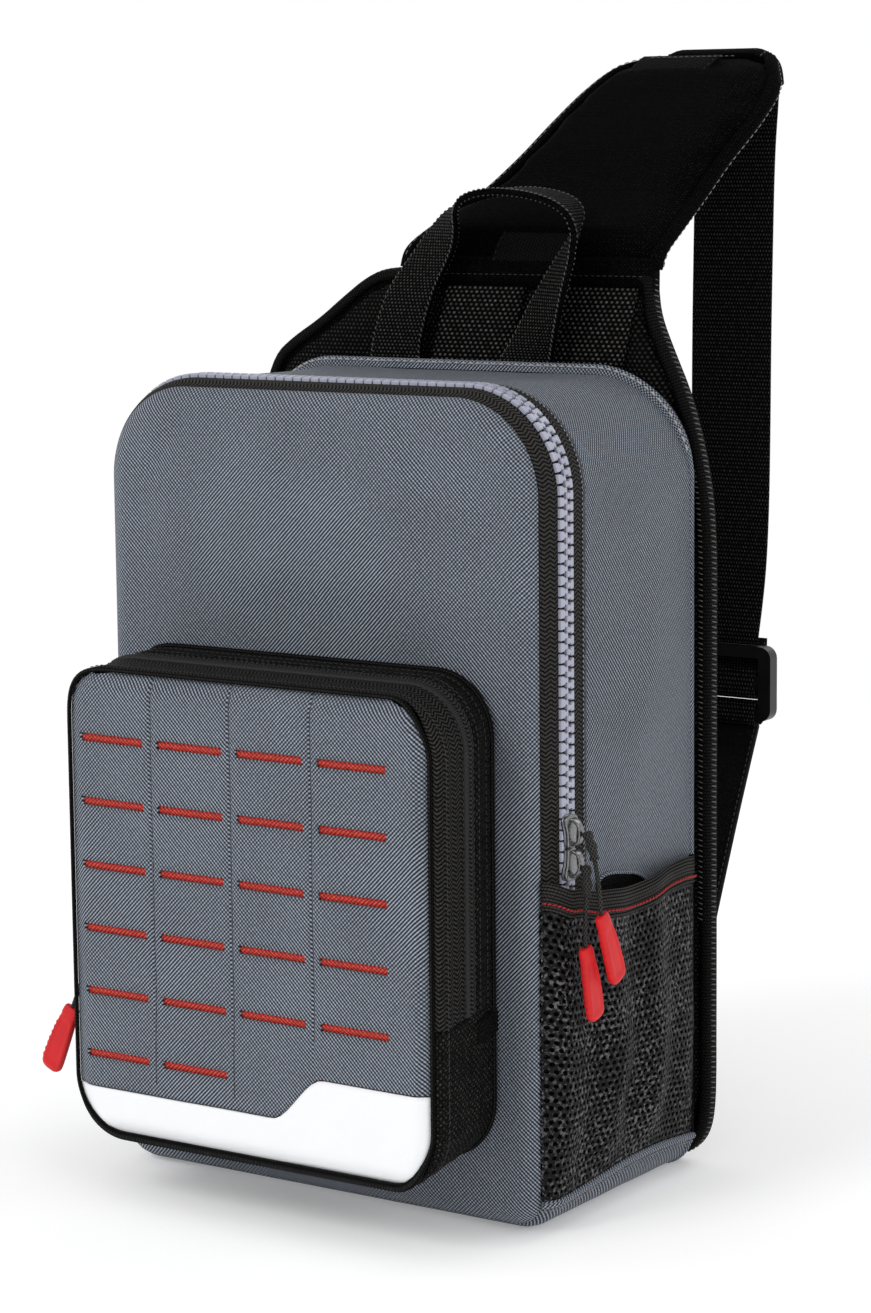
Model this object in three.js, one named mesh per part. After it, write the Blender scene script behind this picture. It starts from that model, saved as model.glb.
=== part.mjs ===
// Sling bag for fishing tackle: a body with a zip on three sides, a front pocket with a slotted
// face, a mesh side pocket, a carry handle and one padded shoulder strap with its adjuster.
// Millimetres, +Z up. The front of the bag faces -Y, and the bag stands on Z = 0.
import * as THREE from 'three';

// Clearance between pieces that touch
const gap = 0.3;

// Body
const bodyWidth = 208;
const bodyHeight = 323;
const bodyDepth = 115;
const bodyMiddle = -0.5;
const bodyTopRadius = 40;
const bodyBottomRadius = 15;
const shoulderRadius = 12;
const bodyWall = 2.5;
const sideSwell = 4;
const bodyFront = bodyMiddle - bodyDepth / 2;
const bodyBack = bodyMiddle + bodyDepth / 2;

// Main zip, measured along the skin from the flat front over the shoulder
const frontPanelTurn = 8;
const frontTapeEnd = 18;
const chainWidth = 10;
const rearTapeEnd = 34;
const tapeThickness = 1.4;
const chainThickness = 3;
const chainProud = 1.2;
const zipEndHeight = 126;

// Sliders, pull cords and grips
const sliderLength = 12.5;
const sliderWidth = 9;
const sliderBase = 2.6;
const bridgeHeight = 4.2;
const bridgeBar = 1.3;
const upperSliderHeight = 156.5;
const pocketSliderHeight = 99;
const cordDiameter = 2.2;
const cordStandoff = 8.4;
const cordDrop = 31;
const gripLength = 30;
const gripWidth = 10;
const gripThickness = 4;

// Front pocket
const pocketWidth = 177;
const pocketBottom = 25;
const pocketHeight = 188;
const pocketRadius = 24;
const pocketDepth = 46;
const pocketFront = bodyFront - pocketDepth;
const pocketFace = 3.6;
const pocketBackNarrowing = 5;
const pocketBackRise = 4;
const pipingWidth = 2.6;
const pipingDepth = 5;
const pipingProud = 0.6;
const pocketWall = 1.8;
const pocketTapeFront = 15.5;
const pocketCoilWidth = 3.4;
const pocketTapeRear = 4;
const pocketZipEndHeight = 88;
const pocketCoilProud = 0.9;
const patchHeight = 11;

// Slot grid of the pocket face
const slotColumns = 4;
const slotRows = 6;
const lastRowColumns = 2;
const slotColumnPitch = 38.1;
const slotRowPitch = 25.4;
const slotLength = 31.3;
const slotHeight = 2.8;
const slotGridLeft = -80.6;
const slotTopMargin = 27.4;
const slotGridTop = pocketBottom + pocketHeight - slotTopMargin;
const backingThickness = 0.8;
const backingMargin = 5;

// Light panel under the slots: its upper edge is low on the left and steps up to the right
const lightPanelHeight = 20;
const lightPanelStep = 18;
const lightPanelLeft = pocketBottom + lightPanelHeight;
const lightPanelRight = lightPanelLeft + lightPanelStep;
const lightStepStart = 10;
const lightStepEnd = 34;

// Mesh side pocket
const meshStart = 9.6;
const meshBottom = 12;
const meshDepth = 12;
const meshSeamRise = 4;
const meshThickness = 1.2;
const meshFold = 1.4;
const bandWidth = 9;
const bandThickness = 2.2;
const bandBase = 119.6;
const bandRise = 10;

// Back panel and its binding
const panelOverhang = 6;
const panelHalfWidth = bodyWidth / 2 + panelOverhang;
const yokeHeight = 40;
const panelHeight = bodyHeight + yokeHeight;
const panelThickness = 12;
const panelEdge = 4;
const bindingThickness = 2.5;
const bindingWidth = 8;

// Handle
const handleWidth = 25;
const handleThickness = 3;
const handleSpan = 62.7;
const handleRise = 71.5;
const handleSetback = 5.4;
const handleFootY = bodyBack - handleSetback;
const handleCentre = -3.15;
const handleLean = 10;

// Yoke webbing
const yokeWebbingWidth = 38;
const yokeWebbingThickness = 2;

// Shoulder strap, its end, webbing, adjuster and lower wing
const strapWidth = 115;
const strapDepth = 90;
const strapRise = 84;
const strapThickness = 9;
const strapEndWidth = 52;
const strapEndThickness = 5;
const strapFoldDepth = 11.6;
const webbingWidth = 38;
const webbingThickness = 2;
const webbingCentre = 65;
const adjusterWidth = 52;
const adjusterHeight = 32;
const adjusterThickness = 6;
const adjusterBar = 5;
const adjusterTop = 201;
const adjusterSetback = 15;
const barTackLength = 38;
const barTackThickness = 1.6;
const wingThickness = 3;
const wingBaseWidth = 54;
const wingBottom = 76;

// Free cords: each route from its slider's base, out and back in shares of the standoff, down in
// shares of the drop. The last row is where the grip on the cord ends.
const upperCordTable = [
  { out: 1, back: 0.04, down: -0.016 }, { out: 1.32, back: 0.04, down: 0.21 },
  { out: 1.595, back: 0.055, down: 0.597 }, { out: 1.7, back: 0.115, down: 0.997 },
  { out: 1.75, back: 1.48, down: 1.887 },
];
const lowerCordTable = [
  { out: 1, back: -0.02, down: -0.01 }, { out: 1.12, back: -0.16, down: 0.25 },
  { out: 1.14, back: -0.28, down: 0.57 }, { out: 1.13, back: -0.33, down: 0.985 },
  { out: 1.155, back: 0.506, down: 1.926 },
];
const pocketCordTable = [
  { out: 1, back: 0.012, down: 0.016 }, { out: 1.16, back: -0.024, down: 0.258 },
  { out: 1.54, back: -0.155, down: 0.58 }, { out: 2.03, back: -0.3, down: 0.955 },
  { out: 3.54, back: -0.3, down: 1.84 },
];

const materials = {
  greyFabric: { color: 0x5f6873, roughness: 0.85, metalness: 0 },
  blackFabric: { color: 0x161616, roughness: 0.9, metalness: 0 },
  blackWebbing: { color: 0x1c1c1c, roughness: 0.8, metalness: 0 },
  lightPanel: { color: 0xe9eaec, roughness: 0.55, metalness: 0 },
  redFabric: { color: 0xb8322c, roughness: 0.8, metalness: 0 },
  zipTeeth: { color: 0x8f93a8, roughness: 0.45, metalness: 0 },
  slider: { color: 0xb9b9bb, roughness: 0.3, metalness: 1 },
  cord: { color: 0x141414, roughness: 0.8, metalness: 0 },
  grip: { color: 0xc9332e, roughness: 0.4, metalness: 0 },
  buckle: { color: 0x121212, roughness: 0.4, metalness: 0 },
  mesh: { color: 0x1b1b1b, roughness: 0.9, metalness: 0 },
};

const group = new THREE.Group();

function addPiece(name, geometry, look) {
  const piece = new THREE.Mesh(geometry, new THREE.MeshStandardMaterial(materials[look]));
  piece.name = name;
  group.add(piece);
  return piece;
}

// Joins rings of points into one closed solid, each ring a closed polygon with as many points as the next.
// A closed loft joins its last ring to its first, and an open one gets a cap at each end.
function loft(rings, closed = false) {
  const count = rings[0].length;
  const positions = rings.flat().flatMap((point) => [point.x, point.y, point.z]);
  const faces = [];
  const spans = closed ? rings.length : rings.length - 1;
  for (let i = 0; i < spans; i += 1) {
    const a = i * count;
    const b = ((i + 1) % rings.length) * count;
    for (let j = 0; j < count; j += 1) {
      const k = (j + 1) % count;
      faces.push([a + j, a + k, b + k], [a + j, b + k, b + j]);
    }
  }
  if (!closed) {
    const last = (rings.length - 1) * count;
    capFaces(rings[0]).forEach(([i, j, k]) => faces.push([i, k, j]));
    capFaces(rings[rings.length - 1]).forEach(([i, j, k]) => faces.push([last + i, last + j, last + k]));
  }
  const volume = faces.reduce((sum, face) => sum + wedge(positions, face), 0);
  const turned = volume < 0 ? faces.map(([i, j, k]) => [i, k, j]) : faces;
  const geometry = new THREE.BufferGeometry();
  geometry.setAttribute('position', new THREE.Float32BufferAttribute(positions, 3));
  geometry.setIndex(turned.flat());
  geometry.computeVertexNormals();
  return geometry;
}

function wedge(positions, face) {
  const [a, b, c] = face.map((i) => new THREE.Vector3().fromArray(positions, 3 * i));
  return a.dot(b.cross(c)) / 6;
}

// Triangles of one flat ring, turned the way that the ring itself turns.
function capFaces(ring) {
  const normal = new THREE.Vector3();
  ring.forEach((point, i) => {
    normal.add(new THREE.Vector3().crossVectors(point, ring[(i + 1) % ring.length]));
  });
  const sizes = [Math.abs(normal.x), Math.abs(normal.y), Math.abs(normal.z)];
  const drop = sizes.indexOf(Math.max(...sizes));
  const flat = ring.map((point) => {
    const kept = point.toArray().filter((_, axis) => axis !== drop);
    return new THREE.Vector2(...kept);
  });
  return THREE.ShapeUtils.triangulateShape(flat, []).map(([i, j, k]) => {
    const side = new THREE.Vector3().subVectors(ring[j], ring[i]);
    const turn = side.cross(new THREE.Vector3().subVectors(ring[k], ring[i]));
    return turn.dot(normal) < 0 ? [i, k, j] : [i, j, k];
  });
}

// A rounded rectangle in X and Z as stations with their outward normals. They run from the middle
// of the bottom up the right side, over the top and down the left side.
function roundedOutline({ width, bottom, height, bottomRadius, topRadius, steps, sideHeights = [] }) {
  const stations = [];
  const corner = (x, z, radius, start) => {
    for (let i = 0; i <= steps; i += 1) {
      const angle = start + (Math.PI / 2) * (i / steps);
      const [nx, nz] = [Math.cos(angle), Math.sin(angle)];
      stations.push({ x: x + radius * nx, z: z + radius * nz, nx, nz });
    }
  };
  const half = width / 2;
  const top = bottom + height;
  stations.push({ x: 0, z: bottom, nx: 0, nz: -1 });
  corner(half - bottomRadius, bottom + bottomRadius, bottomRadius, -Math.PI / 2);
  sideHeights.forEach((z) => stations.push({ x: half, z, nx: 1, nz: 0 }));
  corner(half - topRadius, top - topRadius, topRadius, 0);
  stations.push({ x: 0, z: top, nx: 0, nz: 1 });
  corner(-half + topRadius, top - topRadius, topRadius, Math.PI / 2);
  [...sideHeights].reverse().forEach((z) => stations.push({ x: -half, z, nx: -1, nz: 0 }));
  corner(-half + bottomRadius, bottom + bottomRadius, bottomRadius, Math.PI);
  return stations;
}

function outwards(station, out, y) {
  return new THREE.Vector3(station.x + station.nx * out, y, station.z + station.nz * out);
}

// A place in the body's skin: how far back it lies along the skin from where the flat front ends,
// and how deep under the outer surface.
function skinPlace(along, depth) {
  const arc = (shoulderRadius * Math.PI) / 2;
  if (along < arc) {
    const turn = along / shoulderRadius;
    const reach = shoulderRadius - depth;
    const out = reach * Math.sin(turn) - shoulderRadius;
    return { out, y: bodyFront + shoulderRadius - reach * Math.cos(turn) };
  }
  return { out: -depth, y: bodyFront + shoulderRadius + along - arc };
}

const skinEnd = (shoulderRadius * Math.PI) / 2 + bodyBack - bodyFront - shoulderRadius;

// A band of the body's skin from one place along it to another, as a ring at one station.
function skinRing(station, from, to, outer, inner, steps, swell = () => 0) {
  const places = [];
  for (let i = 0; i <= steps; i += 1) {
    places.push({ along: from + (to - from) * (i / steps), depth: outer, share: i / steps });
  }
  for (let i = steps; i >= 0; i -= 1) {
    places.push({ along: from + (to - from) * (i / steps), depth: inner, share: i / steps });
  }
  return places.map(({ along, depth, share }) => {
    const { out, y } = skinPlace(along, depth);
    return outwards(station, out + swell(station, share), y);
  });
}

const zipStep = gap;
const zipRise = bodyHeight - bodyTopRadius - zipEndHeight;
const bodyOutline = roundedOutline({
  width: bodyWidth,
  bottom: 0,
  height: bodyHeight,
  bottomRadius: bodyBottomRadius,
  topRadius: bodyTopRadius,
  steps: 7,
  sideHeights: [zipEndHeight - 2 * zipStep, zipEndHeight - zipStep, zipEndHeight,
    ...[0.2, 0.4, 0.6, 0.8].map((share) => zipEndHeight + share * zipRise)],
});
const zipOutline = bodyOutline.filter((station) => station.z >= zipEndHeight - zipStep / 2);

function frontPanel() {
  const steps = 4;
  const profile = [{ scale: 0.5, depth: 0 }];
  for (let i = 0; i <= steps; i += 1) profile.push({ along: (frontPanelTurn * i) / steps, depth: 0 });
  for (let i = steps; i >= 0; i -= 1) profile.push({ along: (frontPanelTurn * i) / steps, depth: bodyWall });
  profile.push({ scale: 0.5, depth: bodyWall });
  const middle = bodyHeight / 2;
  const rings = profile.map(({ scale, along, depth }) => bodyOutline.map((station) => {
    if (scale) {
      return new THREE.Vector3(station.x * scale, bodyFront + depth, middle + (station.z - middle) * scale);
    }
    const { out, y } = skinPlace(along, depth);
    return outwards(station, out, y);
  }));
  addPiece('front_panel', loft(rings), 'greyFabric');
}

// The sides of the gusset swell a little over the side pocket, most where a soft fold runs down them.
function gussetSwell(station, share) {
  const rise = (station.z - zipEndHeight) / zipRise;
  if (Math.abs(station.nx) < 0.99 || rise <= 0 || rise >= 1) return 0;
  const fold = 0.3 + 0.4 * rise;
  const across = share < fold ? share / fold : (1 - share) / (1 - fold);
  return sideSwell * Math.sin(Math.PI * rise) * across;
}

function gusset() {
  const rings = bodyOutline.map((station) => {
    const from = station.z > zipEndHeight - 1.5 * zipStep ? rearTapeEnd : frontPanelTurn;
    return skinRing(station, from + gap, skinEnd, 0, bodyWall, 5, gussetSwell);
  });
  addPiece('body_gusset', loft(rings, true), 'greyFabric');
}

function mainZip() {
  const band = (from, to, outer, inner, steps) => loft(
    zipOutline.map((station) => skinRing(station, from, to, outer, inner, steps)));
  const chainEnd = frontTapeEnd + chainWidth;
  const frontTape = band(frontPanelTurn + gap, frontTapeEnd, 0, tapeThickness, 3);
  const chain = band(frontTapeEnd + gap, chainEnd - gap, -chainProud, chainThickness - chainProud, 2);
  const rearTape = band(chainEnd, rearTapeEnd, 0, tapeThickness, 1);
  addPiece('main_zip_front_tape', frontTape, 'blackWebbing');
  addPiece('main_zip_chain', chain, 'zipTeeth');
  addPiece('main_zip_rear_tape', rearTape, 'blackWebbing');
}

// A slider seen from its side: a base plate with a bridge over it, which holds the pull.
function sliderGeometry(length, width) {
  const half = length / 2;
  const top = sliderBase + bridgeHeight;
  const plate = new THREE.Shape();
  plate.moveTo(-half, 0);
  plate.lineTo(half, 0);
  plate.lineTo(half, sliderBase * 0.7);
  plate.lineTo(half * 0.7, sliderBase + bridgeHeight * 0.6);
  plate.lineTo(half * 0.3, top);
  plate.lineTo(-half * 0.6, top);
  plate.lineTo(-half * 0.9, sliderBase);
  plate.lineTo(-half, sliderBase * 0.7);
  const eye = new THREE.Path();
  eye.moveTo(-half * 0.6, sliderBase + bridgeBar * 0.3);
  eye.lineTo(half * 0.6, sliderBase + bridgeBar * 0.3);
  eye.lineTo(half * 0.2, top - bridgeBar);
  eye.lineTo(-half * 0.45, top - bridgeBar);
  plate.holes.push(eye);
  const geometry = new THREE.ExtrudeGeometry(plate, { depth: width, bevelEnabled: false });
  return geometry.translate(0, 0, -width / 2);
}

// Sets a slider's geometry with its base towards the bag: side is 1 on the right and -1 on the left.
function placeSlider(name, geometry, place, side, turned) {
  const piece = addPiece(name, geometry, 'slider');
  const basis = new THREE.Matrix4().makeBasis(
    new THREE.Vector3(0, 0, turned ? -1 : 1),
    new THREE.Vector3(side, 0, 0),
    new THREE.Vector3(0, turned ? -side : side, 0));
  piece.applyMatrix4(basis);
  piece.position.set(place.x, place.y, place.z);
}

// The points of a cord's route in space: side is 1 on the bag's right and -1 on its left.
function cordRoute(table, place, side) {
  return table.map(({ out, back, down }) => new THREE.Vector3(
    place.x + side * out * cordStandoff, place.y + back * cordStandoff, place.z - down * cordDrop));
}

function cord(name, route) {
  const curve = new THREE.CatmullRomCurve3(route.slice(0, -1));
  const section = new THREE.Shape();
  section.absarc(0, 0, cordDiameter / 2, 0, 2 * Math.PI);
  const geometry = new THREE.ExtrudeGeometry(section, { extrudePath: curve, steps: 8, curveSegments: 4 });
  addPiece(name, geometry, 'cord');
}

// A flat grip with a waist under its collar and a rounded lower end, hanging from the end of a cord.
function grip(name, route, facing) {
  const table = [
    { along: 0, half: 0.3 }, { along: 0.1, half: 0.38 }, { along: 0.25, half: 0.4 },
    { along: 0.6, half: 0.5 }, { along: 0.88, half: 0.5 }, { along: 1, half: 0.3 },
  ];
  const top = route.at(-2);
  const way = route.at(-1).clone().sub(top).normalize();
  const flat = new THREE.Vector3(...facing);
  const across = new THREE.Vector3().crossVectors(way, flat).normalize();
  const out = new THREE.Vector3().crossVectors(across, way).normalize();
  const rings = table.map(({ along, half }) => {
    const centre = top.clone().addScaledVector(way, gap + along * gripLength);
    const [w, t] = [half * gripWidth, gripThickness / 2];
    return [[-w, -t / 2], [-w * 0.7, -t], [w * 0.7, -t], [w, -t / 2], [w, t / 2], [w * 0.7, t], [-w * 0.7, t],
      [-w, t / 2]].map(([a, b]) => centre.clone().addScaledVector(across, a).addScaledVector(out, b));
  });
  addPiece(name, loft(rings), 'grip');
}

function mainPulls() {
  const chainMiddle = skinPlace(frontTapeEnd + chainWidth / 2, -chainProud - gap);
  const x = bodyWidth / 2 + chainMiddle.out;
  const pulls = [
    { name: 'upper', z: upperSliderHeight, turned: false, table: upperCordTable },
    { name: 'lower', z: upperSliderHeight - sliderLength - gap, turned: true, table: lowerCordTable },
  ];
  pulls.forEach(({ name, z, turned, table }) => {
    const place = { x, y: chainMiddle.y, z };
    placeSlider(`main_slider_${name}`, sliderGeometry(sliderLength, sliderWidth), place, 1, turned);
    const route = cordRoute(table, place, 1);
    cord(`main_pull_cord_${name}`, route);
    grip(`main_pull_grip_${name}`, route, [1, 0, 0]);
  });
}

// Front pocket: its outline narrows a little and rises towards the bag.
function pocketOutline(share, sideHeights = []) {
  return roundedOutline({
    width: pocketWidth - 2 * pocketBackNarrowing * share,
    bottom: pocketBottom + pocketBackRise * share,
    height: pocketHeight,
    bottomRadius: pocketRadius,
    topRadius: pocketRadius,
    steps: 6,
    sideHeights,
  });
}

const pocketBack = bodyFront - gap;
const pocketZipHeights = [pocketZipEndHeight - 2 * zipStep, pocketZipEndHeight - zipStep, pocketZipEndHeight];
const pocketFrontOutline = pocketOutline(0, pocketZipHeights);
const pocketBackOutline = pocketOutline(1, pocketZipHeights);

function pocketPoint(i, y, depth) {
  const share = (y - pocketFront) / (pocketBack - pocketFront);
  const [a, b] = [outwards(pocketFrontOutline[i], -depth, y), outwards(pocketBackOutline[i], -depth, y)];
  return a.lerp(b, share);
}

function pocketBand(indices, spanAt, outer, inner, closed) {
  return loft(indices.map((i) => {
    const [from, to] = spanAt(i);
    const middle = (from + to) / 2;
    return [[from, outer], [middle, outer], [to, outer], [to, inner], [middle, inner], [from, inner]]
      .map(([y, depth]) => pocketPoint(i, y, depth));
  }), closed);
}

const pocketTapeStart = pocketFront + pipingDepth + gap;
const pocketCoilStart = pocketTapeStart + pocketTapeFront;
const pocketCoilEnd = pocketCoilStart + pocketCoilWidth;
const pocketTapeRearEnd = pocketCoilEnd + pocketTapeRear;

function pocketSides() {
  const all = pocketFrontOutline.map((_, i) => i);
  const zip = all.filter((i) => pocketFrontOutline[i].z >= pocketZipEndHeight - zipStep / 2);
  const section = [[0.15, 0], [0.85, 0], [1, 0.25], [1, 1], [0, 1], [0, 0.25]];
  const piping = loft(pocketFrontOutline.map((station) => section.map(([along, deep]) => outwards(
    station, pipingProud - deep * pipingWidth, pocketFront + along * pipingDepth))), true);
  addPiece('pocket_piping', piping, 'blackWebbing');
  const zipBands = [
    { name: 'front_tape', from: pocketTapeStart, to: pocketCoilStart - gap, proud: 0 },
    { name: 'coil', from: pocketCoilStart, to: pocketCoilEnd, proud: pocketCoilProud },
    { name: 'rear_tape', from: pocketCoilEnd + gap, to: pocketTapeRearEnd, proud: 0 },
  ];
  zipBands.forEach(({ name, from, to, proud }) => {
    const band = pocketBand(zip, () => [from, to], -proud, tapeThickness, false);
    addPiece(`pocket_zip_${name}`, band, 'blackWebbing');
  });
  const gussetStart = (i) => (
    pocketFrontOutline[i].z > pocketZipEndHeight - 1.5 * zipStep ? pocketTapeRearEnd + gap : pocketTapeStart);
  const sides = pocketBand(all, (i) => [gussetStart(i), pocketBack], 0, pocketWall, true);
  addPiece('pocket_gusset', sides, 'blackFabric');
  [['right', 1], ['left', -1]].forEach(([sideName, side]) => {
    const depth = pocketBack - pocketTapeRearEnd - 2 * gap;
    const patch = new THREE.BoxGeometry(1, depth, patchHeight);
    const share = (pocketBack - depth / 2 - pocketFront) / (pocketBack - pocketFront);
    const x = pocketWidth / 2 - pocketBackNarrowing * share;
    const piece = addPiece(`pocket_zip_patch_${sideName}`, patch, 'blackWebbing');
    const lean = Math.atan(pocketBackNarrowing / (pocketBack - pocketFront));
    piece.rotation.z = side * lean;
    const z = pocketZipEndHeight - patchHeight / 2;
    piece.position.set(side * (x + 0.5 + gap), pocketBack - gap - depth / 2, z);
  });
}

// The upper edge of the light panel from left to right, as points of a soft step.
function lightEdge(halfWidth, lift) {
  const steps = 10;
  const points = [new THREE.Vector2(-halfWidth(lightPanelLeft), lightPanelLeft + lift)];
  for (let i = 0; i <= steps; i += 1) {
    const share = i / steps;
    const rise = share * share * (3 - 2 * share);
    const x = lightStepStart + share * (lightStepEnd - lightStepStart);
    points.push(new THREE.Vector2(x, lightPanelLeft + rise * (lightPanelRight - lightPanelLeft) + lift));
  }
  points.push(new THREE.Vector2(halfWidth(lightPanelRight), lightPanelRight + lift));
  return points;
}

function pocketFacePieces() {
  const inset = pipingWidth - pipingProud + gap;
  const radius = pocketRadius - inset;
  const half = pocketWidth / 2 - inset;
  const bottom = pocketBottom + inset;
  const top = pocketBottom + pocketHeight - inset;
  const halfWidth = (z) => {
    const drop = Math.max(0, bottom + radius - z);
    return half - radius + Math.sqrt(radius * radius - drop * drop);
  };
  const arc = (x, z, start, end, steps) => {
    const points = [];
    for (let i = 0; i <= steps; i += 1) {
      const angle = start + (end - start) * (i / steps);
      points.push(new THREE.Vector2(x + radius * Math.cos(angle), z + radius * Math.sin(angle)));
    }
    return points;
  };
  const leftDrop = (lift) => Math.asin(Math.max(0, bottom + radius - lightPanelLeft - lift) / radius);
  const lower = [
    ...arc(-half + radius, bottom + radius, Math.PI + leftDrop(0), 1.5 * Math.PI, 5).slice(1),
    ...arc(half - radius, bottom + radius, 1.5 * Math.PI, 2 * Math.PI, 6),
    ...lightEdge(halfWidth, 0).reverse(),
  ];
  const upper = [
    ...lightEdge(halfWidth, gap),
    ...arc(half - radius, top - radius, 0, 0.5 * Math.PI, 6),
    ...arc(-half + radius, top - radius, 0.5 * Math.PI, Math.PI, 6),
    ...(leftDrop(gap) > 0 ? [new THREE.Vector2(-half, bottom + radius)] : []),
  ];
  const face = new THREE.Shape(upper);
  for (let row = 0; row < slotRows; row += 1) {
    const columns = row < slotRows - 1 ? slotColumns : lastRowColumns;
    for (let column = 0; column < columns; column += 1) {
      const x = slotGridLeft + column * slotColumnPitch;
      const z = slotGridTop - row * slotRowPitch;
      const slot = new THREE.Path();
      slot.absarc(x + slotHeight / 2, z, slotHeight / 2, Math.PI / 2, 1.5 * Math.PI);
      slot.absarc(x + slotLength - slotHeight / 2, z, slotHeight / 2, -Math.PI / 2, Math.PI / 2);
      face.holes.push(slot);
    }
  }
  const stand = (geometry) => geometry.rotateX(Math.PI / 2).translate(0, pocketFront + pocketFace, 0);
  const options = { depth: pocketFace, bevelEnabled: false, curveSegments: 2 };
  addPiece('pocket_face', stand(new THREE.ExtrudeGeometry(face, options)), 'greyFabric');
  const panel = new THREE.ExtrudeGeometry(new THREE.Shape(lower), options);
  addPiece('pocket_light_panel', stand(panel), 'lightPanel');
  const gridWidth = (slotColumns - 1) * slotColumnPitch + slotLength;
  const gridHeight = (slotRows - 1) * slotRowPitch;
  const backingHeight = gridHeight + 2 * backingMargin;
  const backing = new THREE.BoxGeometry(gridWidth + backingMargin, backingThickness, backingHeight);
  const piece = addPiece('pocket_slot_backing', backing, 'redFabric');
  piece.position.set(slotGridLeft + gridWidth / 2, pocketFront + pocketFace + gap + backingThickness / 2,
    slotGridTop - gridHeight / 2);
}

function pocketPull() {
  const y = (pocketCoilStart + pocketCoilEnd) / 2;
  const share = (y - pocketFront) / (pocketBack - pocketFront);
  const x = pocketWidth / 2 - pocketBackNarrowing * share + pocketCoilProud + gap;
  const place = { x: -x, y, z: pocketSliderHeight };
  placeSlider('pocket_slider', sliderGeometry(sliderLength * 0.8, sliderWidth * 0.7), place, -1, false);
  const route = cordRoute(pocketCordTable, place, -1);
  cord('pocket_pull_cord', route);
  grip('pocket_pull_grip', route, [0, -1, 0]);
}

// Mesh pocket on the right side. Its edge runs lower in the middle than at its two ends.
const bandTable = [
  { along: 0, rise: 1 }, { along: 0.12, rise: 0.55 }, { along: 0.28, rise: 0.2 }, { along: 0.5, rise: 0 },
  { along: 0.72, rise: 0.25 }, { along: 0.88, rise: 0.3 }, { along: 1, rise: 0.15 },
];

function bandBottom(along) {
  const next = bandTable.findIndex((row) => row.along >= along);
  if (next <= 0) return bandBase + bandRise * bandTable[0].rise;
  const [a, b] = [bandTable[next - 1], bandTable[next]];
  const share = (along - a.along) / (b.along - a.along);
  return bandBase + bandRise * (a.rise + (b.rise - a.rise) * share);
}

// A point of the side pocket: 'along' runs from front to back and 'up' from its seam to its edge.
function meshPoint(along, up, z, depth) {
  const seam = Math.sin(Math.PI * along) ** 0.6;
  const full = Math.sin(0.5 * Math.PI * Math.min(1, 1.6 * up)) * (1 - 0.45 * up);
  const folds = meshFold * Math.sin(7 * Math.PI * along) * seam * (1 - 0.7 * up) * Math.min(1, 4 * up);
  const bulge = meshDepth * seam * full + folds;
  const place = skinPlace(meshStart + along * (skinEnd - 2 - meshStart), depth - gap - Math.max(0, bulge));
  return new THREE.Vector3(bodyWidth / 2 + place.out, place.y, z);
}

function meshPocket() {
  const columns = 16;
  const rows = 7;
  const strips = (ups, heightAt, thickness) => {
    const rings = [];
    for (let i = 0; i <= columns; i += 1) {
      const along = i / columns;
      const outer = ups.map((up) => meshPoint(along, Math.min(1, up), heightAt(along, up), -thickness));
      const inner = ups.map((up) => meshPoint(along, Math.min(1, up), heightAt(along, up), 0));
      rings.push([...outer, ...inner.reverse()]);
    }
    return loft(rings);
  };
  const meshUps = Array.from({ length: rows + 1 }, (_, row) => row / rows);
  const meshHeight = (along, up) => meshBottom + meshSeamRise * (1 - up) * Math.sin(2.5 * along) ** 2
    + up * (bandBottom(along) - gap - meshBottom);
  addPiece('mesh_pocket', strips(meshUps, meshHeight, meshThickness), 'mesh');
  const bandHeight = (along, up) => bandBottom(along) + (up - 1) * bandWidth;
  addPiece('mesh_pocket_band', strips([1, 1.5, 2], bandHeight, bandThickness), 'blackWebbing');
}

// Outline of the back panel as shares of its half width and height: the yoke leans to the right.
const panelTable = [
  { side: 0, high: 0 }, { side: 0.78, high: 0 }, { side: 0.9, high: 0.008 }, { side: 0.975, high: 0.03 },
  { side: 1, high: 0.07 }, { side: 1, high: 0.4 }, { side: 1, high: 0.7 }, { side: 0.985, high: 0.76 },
  { side: 0.952, high: 0.81 }, { side: 0.898, high: 0.865 }, { side: 0.82, high: 0.915 },
  { side: 0.77, high: 0.95 }, { side: 0.757, high: 0.98 }, { side: 0.757, high: 1 },
  { side: 0.15, high: 1 }, { side: -0.4, high: 1 }, { side: -0.5, high: 0.99 },
  { side: -0.62, high: 0.965 }, { side: -0.73, high: 0.94 }, { side: -0.86, high: 0.917 },
  { side: -0.95, high: 0.895 }, { side: -1, high: 0.85 }, { side: -1, high: 0.4 },
  { side: -1, high: 0.07 }, { side: -0.975, high: 0.03 }, { side: -0.9, high: 0.008 },
  { side: -0.78, high: 0 },
];

const panelOutline = panelTable.map(({ side, high }) => (
  new THREE.Vector2(side * panelHalfWidth, high * panelHeight)));

function panelPoint(i, inset, y) {
  const count = panelOutline.length;
  const place = panelOutline[i];
  const here = place.clone().sub(panelOutline[(i + count - 1) % count]).normalize();
  const next = panelOutline[(i + 1) % count].clone().sub(place).normalize();
  const way = here.clone().add(next).normalize();
  const mitre = inset / way.dot(here);
  return new THREE.Vector3(place.x - way.y * mitre, y, place.y + way.x * mitre);
}

const panelFront = bodyBack + gap;
const panelBack = panelFront + panelThickness;

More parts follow.
